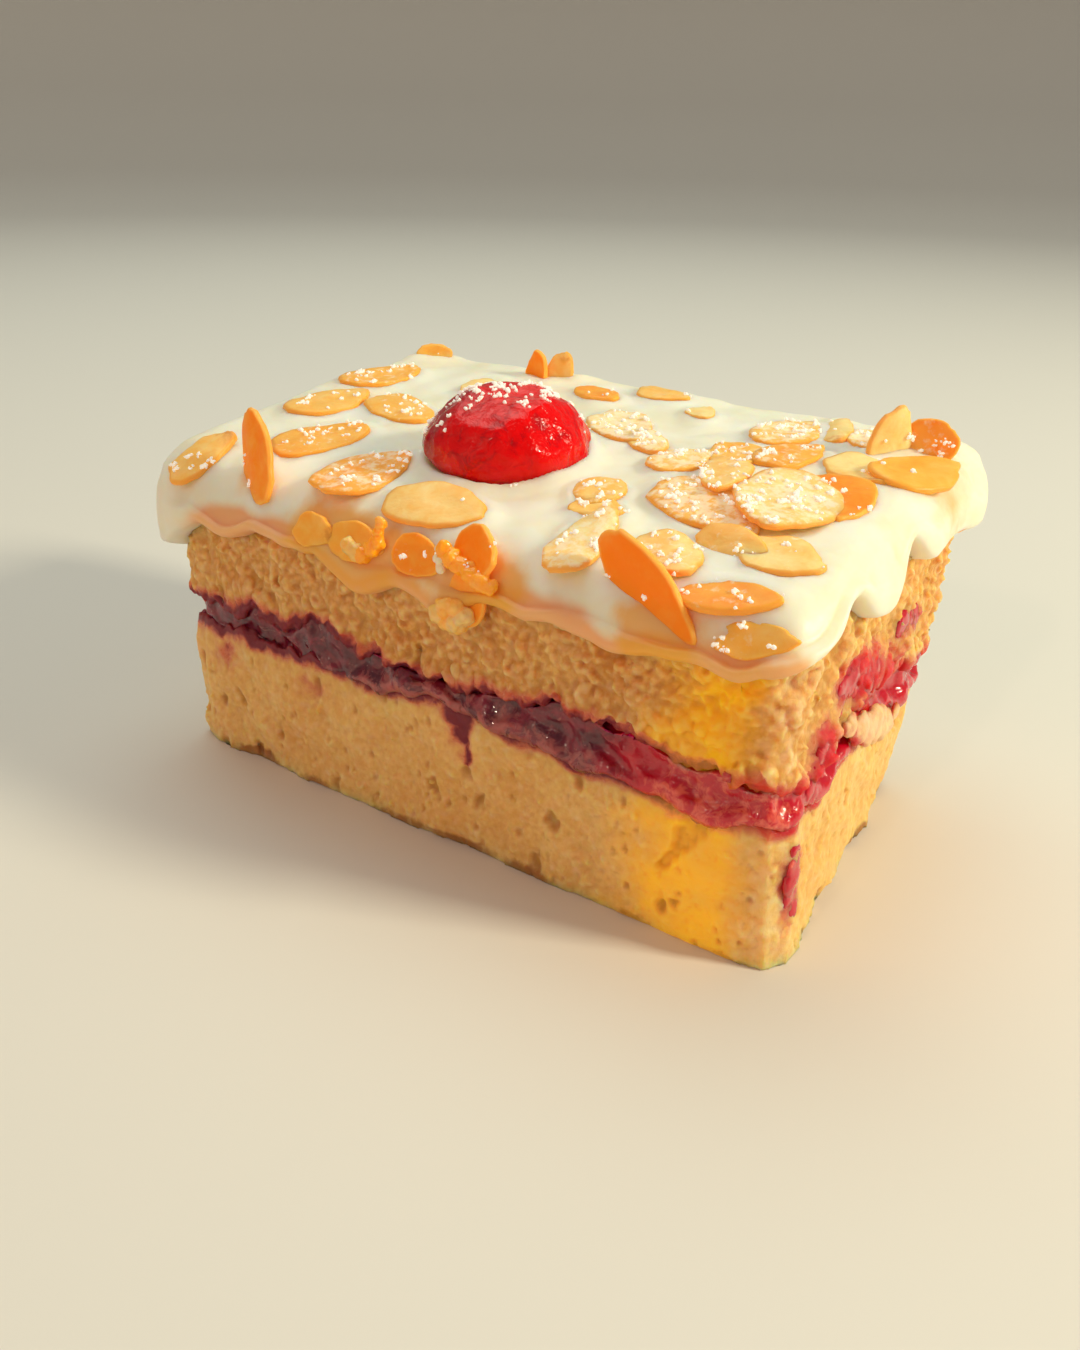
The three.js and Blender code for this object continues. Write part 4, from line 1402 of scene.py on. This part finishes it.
def sugar_on_cherry(spots, surface, box):
    """Thick on the back left of the dome, a little elsewhere, and crusted round its foot."""
    low, high = (corner / MM for corner in box)
    centre = (low + high) / 2
    for _ in range(DOME_TRIES):
        angle = DRAW.uniform(0, 2 * math.pi)
        reach = math.sqrt(DRAW.uniform(0, 1)) * DOME_REACH
        place = Vector((centre.x + reach * math.cos(angle), centre.y + reach * math.sin(angle), 60))
        behind = smooth_step(math.sin(angle - SUGAR_TURNED) * reach, -6, 3)
        if DRAW.random() > 0.06 + 0.8 * behind or noise.noise(place / 2.6) + DRAW.uniform(-0.25, 0.35) < 0:
            continue
        hit, upright, _, _ = surface.ray_cast(place, Vector((0, 0, -1)), 30)
        if hit:
            sugar_cluster(spots, hit, upright)
    for _ in range(FOOT_TRIES):
        angle = DRAW.uniform(0, 2 * math.pi)
        out = Vector((math.cos(angle), math.sin(angle), 0))
        place = Vector((centre.x, centre.y, 0)) + out * FOOT_REACH
        place.z = icing_top(place.x, place.y) + DRAW.uniform(0, 0.5)
        if noise.noise(place / 2) + DRAW.uniform(-0.2, 0.4) > 0:
            sugar_cluster(spots, place, out)


# Bits of almond and crumb stuck in the icing: middle, radius and how warm their colour is.
# The balls of one lump overlap.
LUMPS = [
    [((-9.6, -28.5, 36.6), 1.0, 0.45), ((-8.6, -28.6, 36.1), 1.0, 0.5), ((-7.4, -28.6, 36.0), 0.9, 0.8)],
    [((-5, -28.1, 40.1), 0.75, 0.7), ((-5.1, -28.4, 39), 0.65, 0.8), ((-5.3, -28.5, 38), 0.85, 0.8),
     ((-6, -28.6, 37.2), 0.9, 0.85)],
    [((4.4, -28.4, 39.2), 0.95, 0.8), ((5.6, -28.6, 38.7), 0.95, 0.85), ((6.9, -28.8, 38), 0.95, 0.9),
     ((8.2, -28.9, 37.5), 0.9, 0.8), ((9.6, -28.9, 37), 0.9, 0.7), ((10.8, -28.8, 36.6), 0.8, 0.7)],
    [((4.3, -29.4, 32.2), 1.1, 0.45), ((5.4, -29.4, 33.2), 1.2, 0.6), ((6.8, -29.4, 33.4), 1.1, 0.55),
     ((7.7, -29.3, 32.6), 1.1, 0.4), ((6.6, -29.2, 31.6), 1.2, 0.45), ((5.3, -29.2, 31.4), 1.0, 0.55)],
    [((4, -28.8, 38.2), 0.6, 0.1), ((3.8, -28.6, 39.3), 0.5, 0.0), ((4.3, -28.9, 37.3), 0.5, 0.1)],
    [((-40.4, -27.6, 33.5), 0.9, 0.5), ((-39.5, -27.7, 33), 0.8, 0.6)],
    [((-12.4, 29.1, 37.8), 1.0, 0.7), ((-11.3, 29.2, 37.4), 0.9, 0.5)],
    [((-45.6, -6.5, 38.6), 0.9, 0.7), ((-45.8, -5.4, 38.2), 0.8, 0.5)],
]
LUMP_FACE = 0.2


def lumps():
    form = bmesh.new()
    balls = [ball for lump in LUMPS for ball in lump]
    for middle, radius, _ in balls:
        add_ball(form, middle, radius)
    form = evened(form, LUMP_FACE)
    smoothed(form, 3)
    layers = new_layers(form, "warm")
    for vert in form.verts:
        place = vert.co.copy()
        nearest = min(balls, key=lambda ball: (place - Vector(ball[0])).length / ball[1])
        vert[layers["warm"]] = nearest[2] + 0.15 * noise.noise(place)
        vert.co += vert.normal * (ripple(place, 0.3, 1.1) + 0.22 * grains(place, 0.9))
    form.normal_update()
    finished("lumps", form, lump_finish(), "icing", "icing")


# ------------------------------------------------------------------------------- the stage

# Half of the dish's section in metres: distance from its middle and height
DISH = [(0, 0), (0.9, 0), (1.15, 0.02), (1.35, 0.09), (1.48, 0.2), (1.55, 0.36), (1.58, 0.55)]

# Lamps: name, the way to it, distance and size in metres, power and colour
LAMPS = [
    ("key", (0.84, 0.26, 0.5), 0.75, 0.12, 4.6, (1.0, 0.91, 0.66)),
    ("fill", (-0.3, -0.9, 0.35), 0.9, 0.7, 1.4, (1.0, 0.55, 0.38)),
    ("glint", (0.05, -0.9, 0.6), 0.8, 0.03, 0.45, (1.0, 0.78, 0.6)),
    ("above", (-0.3, 0.3, 1.0), 0.8, 0.7, 3.1, (0.88, 1.0, 0.9)),
]
LAMPS_LOOK_AT = Vector((0, 0, 0.022))
SKY = {"Color": (1.0, 0.95, 0.9, 1), "Strength": 0.22}

# The photograph's camera, worked out from the slice's corners in the 1080 x 1350 picture
PICTURE_HEIGHT = 1350
FOCAL_PIXELS = 1161
SENSOR = 36
CAMERA_AT = Vector((79.93, -120.05, 82.34))
CAMERA_RIGHT = Vector((0.8191, 0.5732, 0.0213))
CAMERA_UP = Vector((-0.2676, 0.3489, 0.8981))


def pale_floor():
    """A wide shallow dish, so that no horizon shows from any side."""
    form = bmesh.new()
    verts = [form.verts.new((reach, 0, height)) for reach, height in DISH]
    edges = [form.edges.new(pair) for pair in zip(verts, verts[1:])]
    bmesh.ops.spin(form, geom=verts + edges, cent=(0, 0, 0), axis=(0, 0, 1), angle=2 * math.pi,
                   steps=96, use_merge=True)
    bmesh.ops.remove_doubles(form, verts=form.verts, dist=0.1 * MM)
    bmesh.ops.recalc_face_normals(form, faces=form.faces)
    for face in form.faces:
        face.smooth = True
    floor = holding("floor", mesh_of(form, "floor"))
    floor.data.materials.append(Finish("floor", roughness=0.8, base_color=FLOOR_TONE).material)


def lamp(name, towards, far, size, power, tone):
    """A soft square lamp that looks at the slice."""
    light = bpy.data.lights.new(name, "AREA")
    light.size = size
    light.energy = power
    light.color = tone
    way = Vector(towards).normalized()
    turn = way.to_track_quat("Z", "Y").to_matrix().to_4x4()
    holding(name, light).matrix_world = Matrix.Translation(LAMPS_LOOK_AT + way * far) @ turn


def studio():
    for each in LAMPS:
        lamp(*each)
    world = bpy.data.worlds.new("studio")
    world.use_nodes = True
    bpy.context.scene.world = world
    for socket, value in SKY.items():
        world.node_tree.nodes["Background"].inputs[socket].default_value = value
    bpy.context.scene.view_settings.view_transform = "Standard"


def camera():
    data = bpy.data.cameras.new("photo")
    data.sensor_width = SENSOR
    data.lens = FOCAL_PIXELS / PICTURE_HEIGHT * SENSOR
    data.clip_start = 0.01
    right = CAMERA_RIGHT.normalized()
    back = right.cross(CAMERA_UP).normalized()
    up = back.cross(right)
    turn = Matrix((right, up, back)).transposed().to_4x4()
    holder = holding("photo", data)
    holder.matrix_world = Matrix.Translation(CAMERA_AT * MM) @ turn
    bpy.context.scene.camera = holder


# ---------------------------------------------------------------------------------- making

camera()
studio()
pale_floor()
sponge("lower_sponge", "sponge_bottom", LOWER_LOOK, LOWER_CRUMB)
sponge("upper_sponge", "sponge_top", UPPER_LOOK, UPPER_CRUMB)
jam()
smears()
flap()
icing()
lumps()
flakes = almond_form()
cherry = cherry_form()
specks = []
sugar_on_almonds(specks, BVHTree.FromBMesh(flakes))
sugar_on_cherry(specks, BVHTree.FromBMesh(cherry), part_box("cherry_half"))
finished("almonds", flakes, almond_finish(), "icing", "icing")
finished("cherry", cherry, cherry_finish(), "cherry", "cherry_half")
finished("sugar", strewn(specks, grain_shapes(8)), sugar_finish(), "icing", "icing")
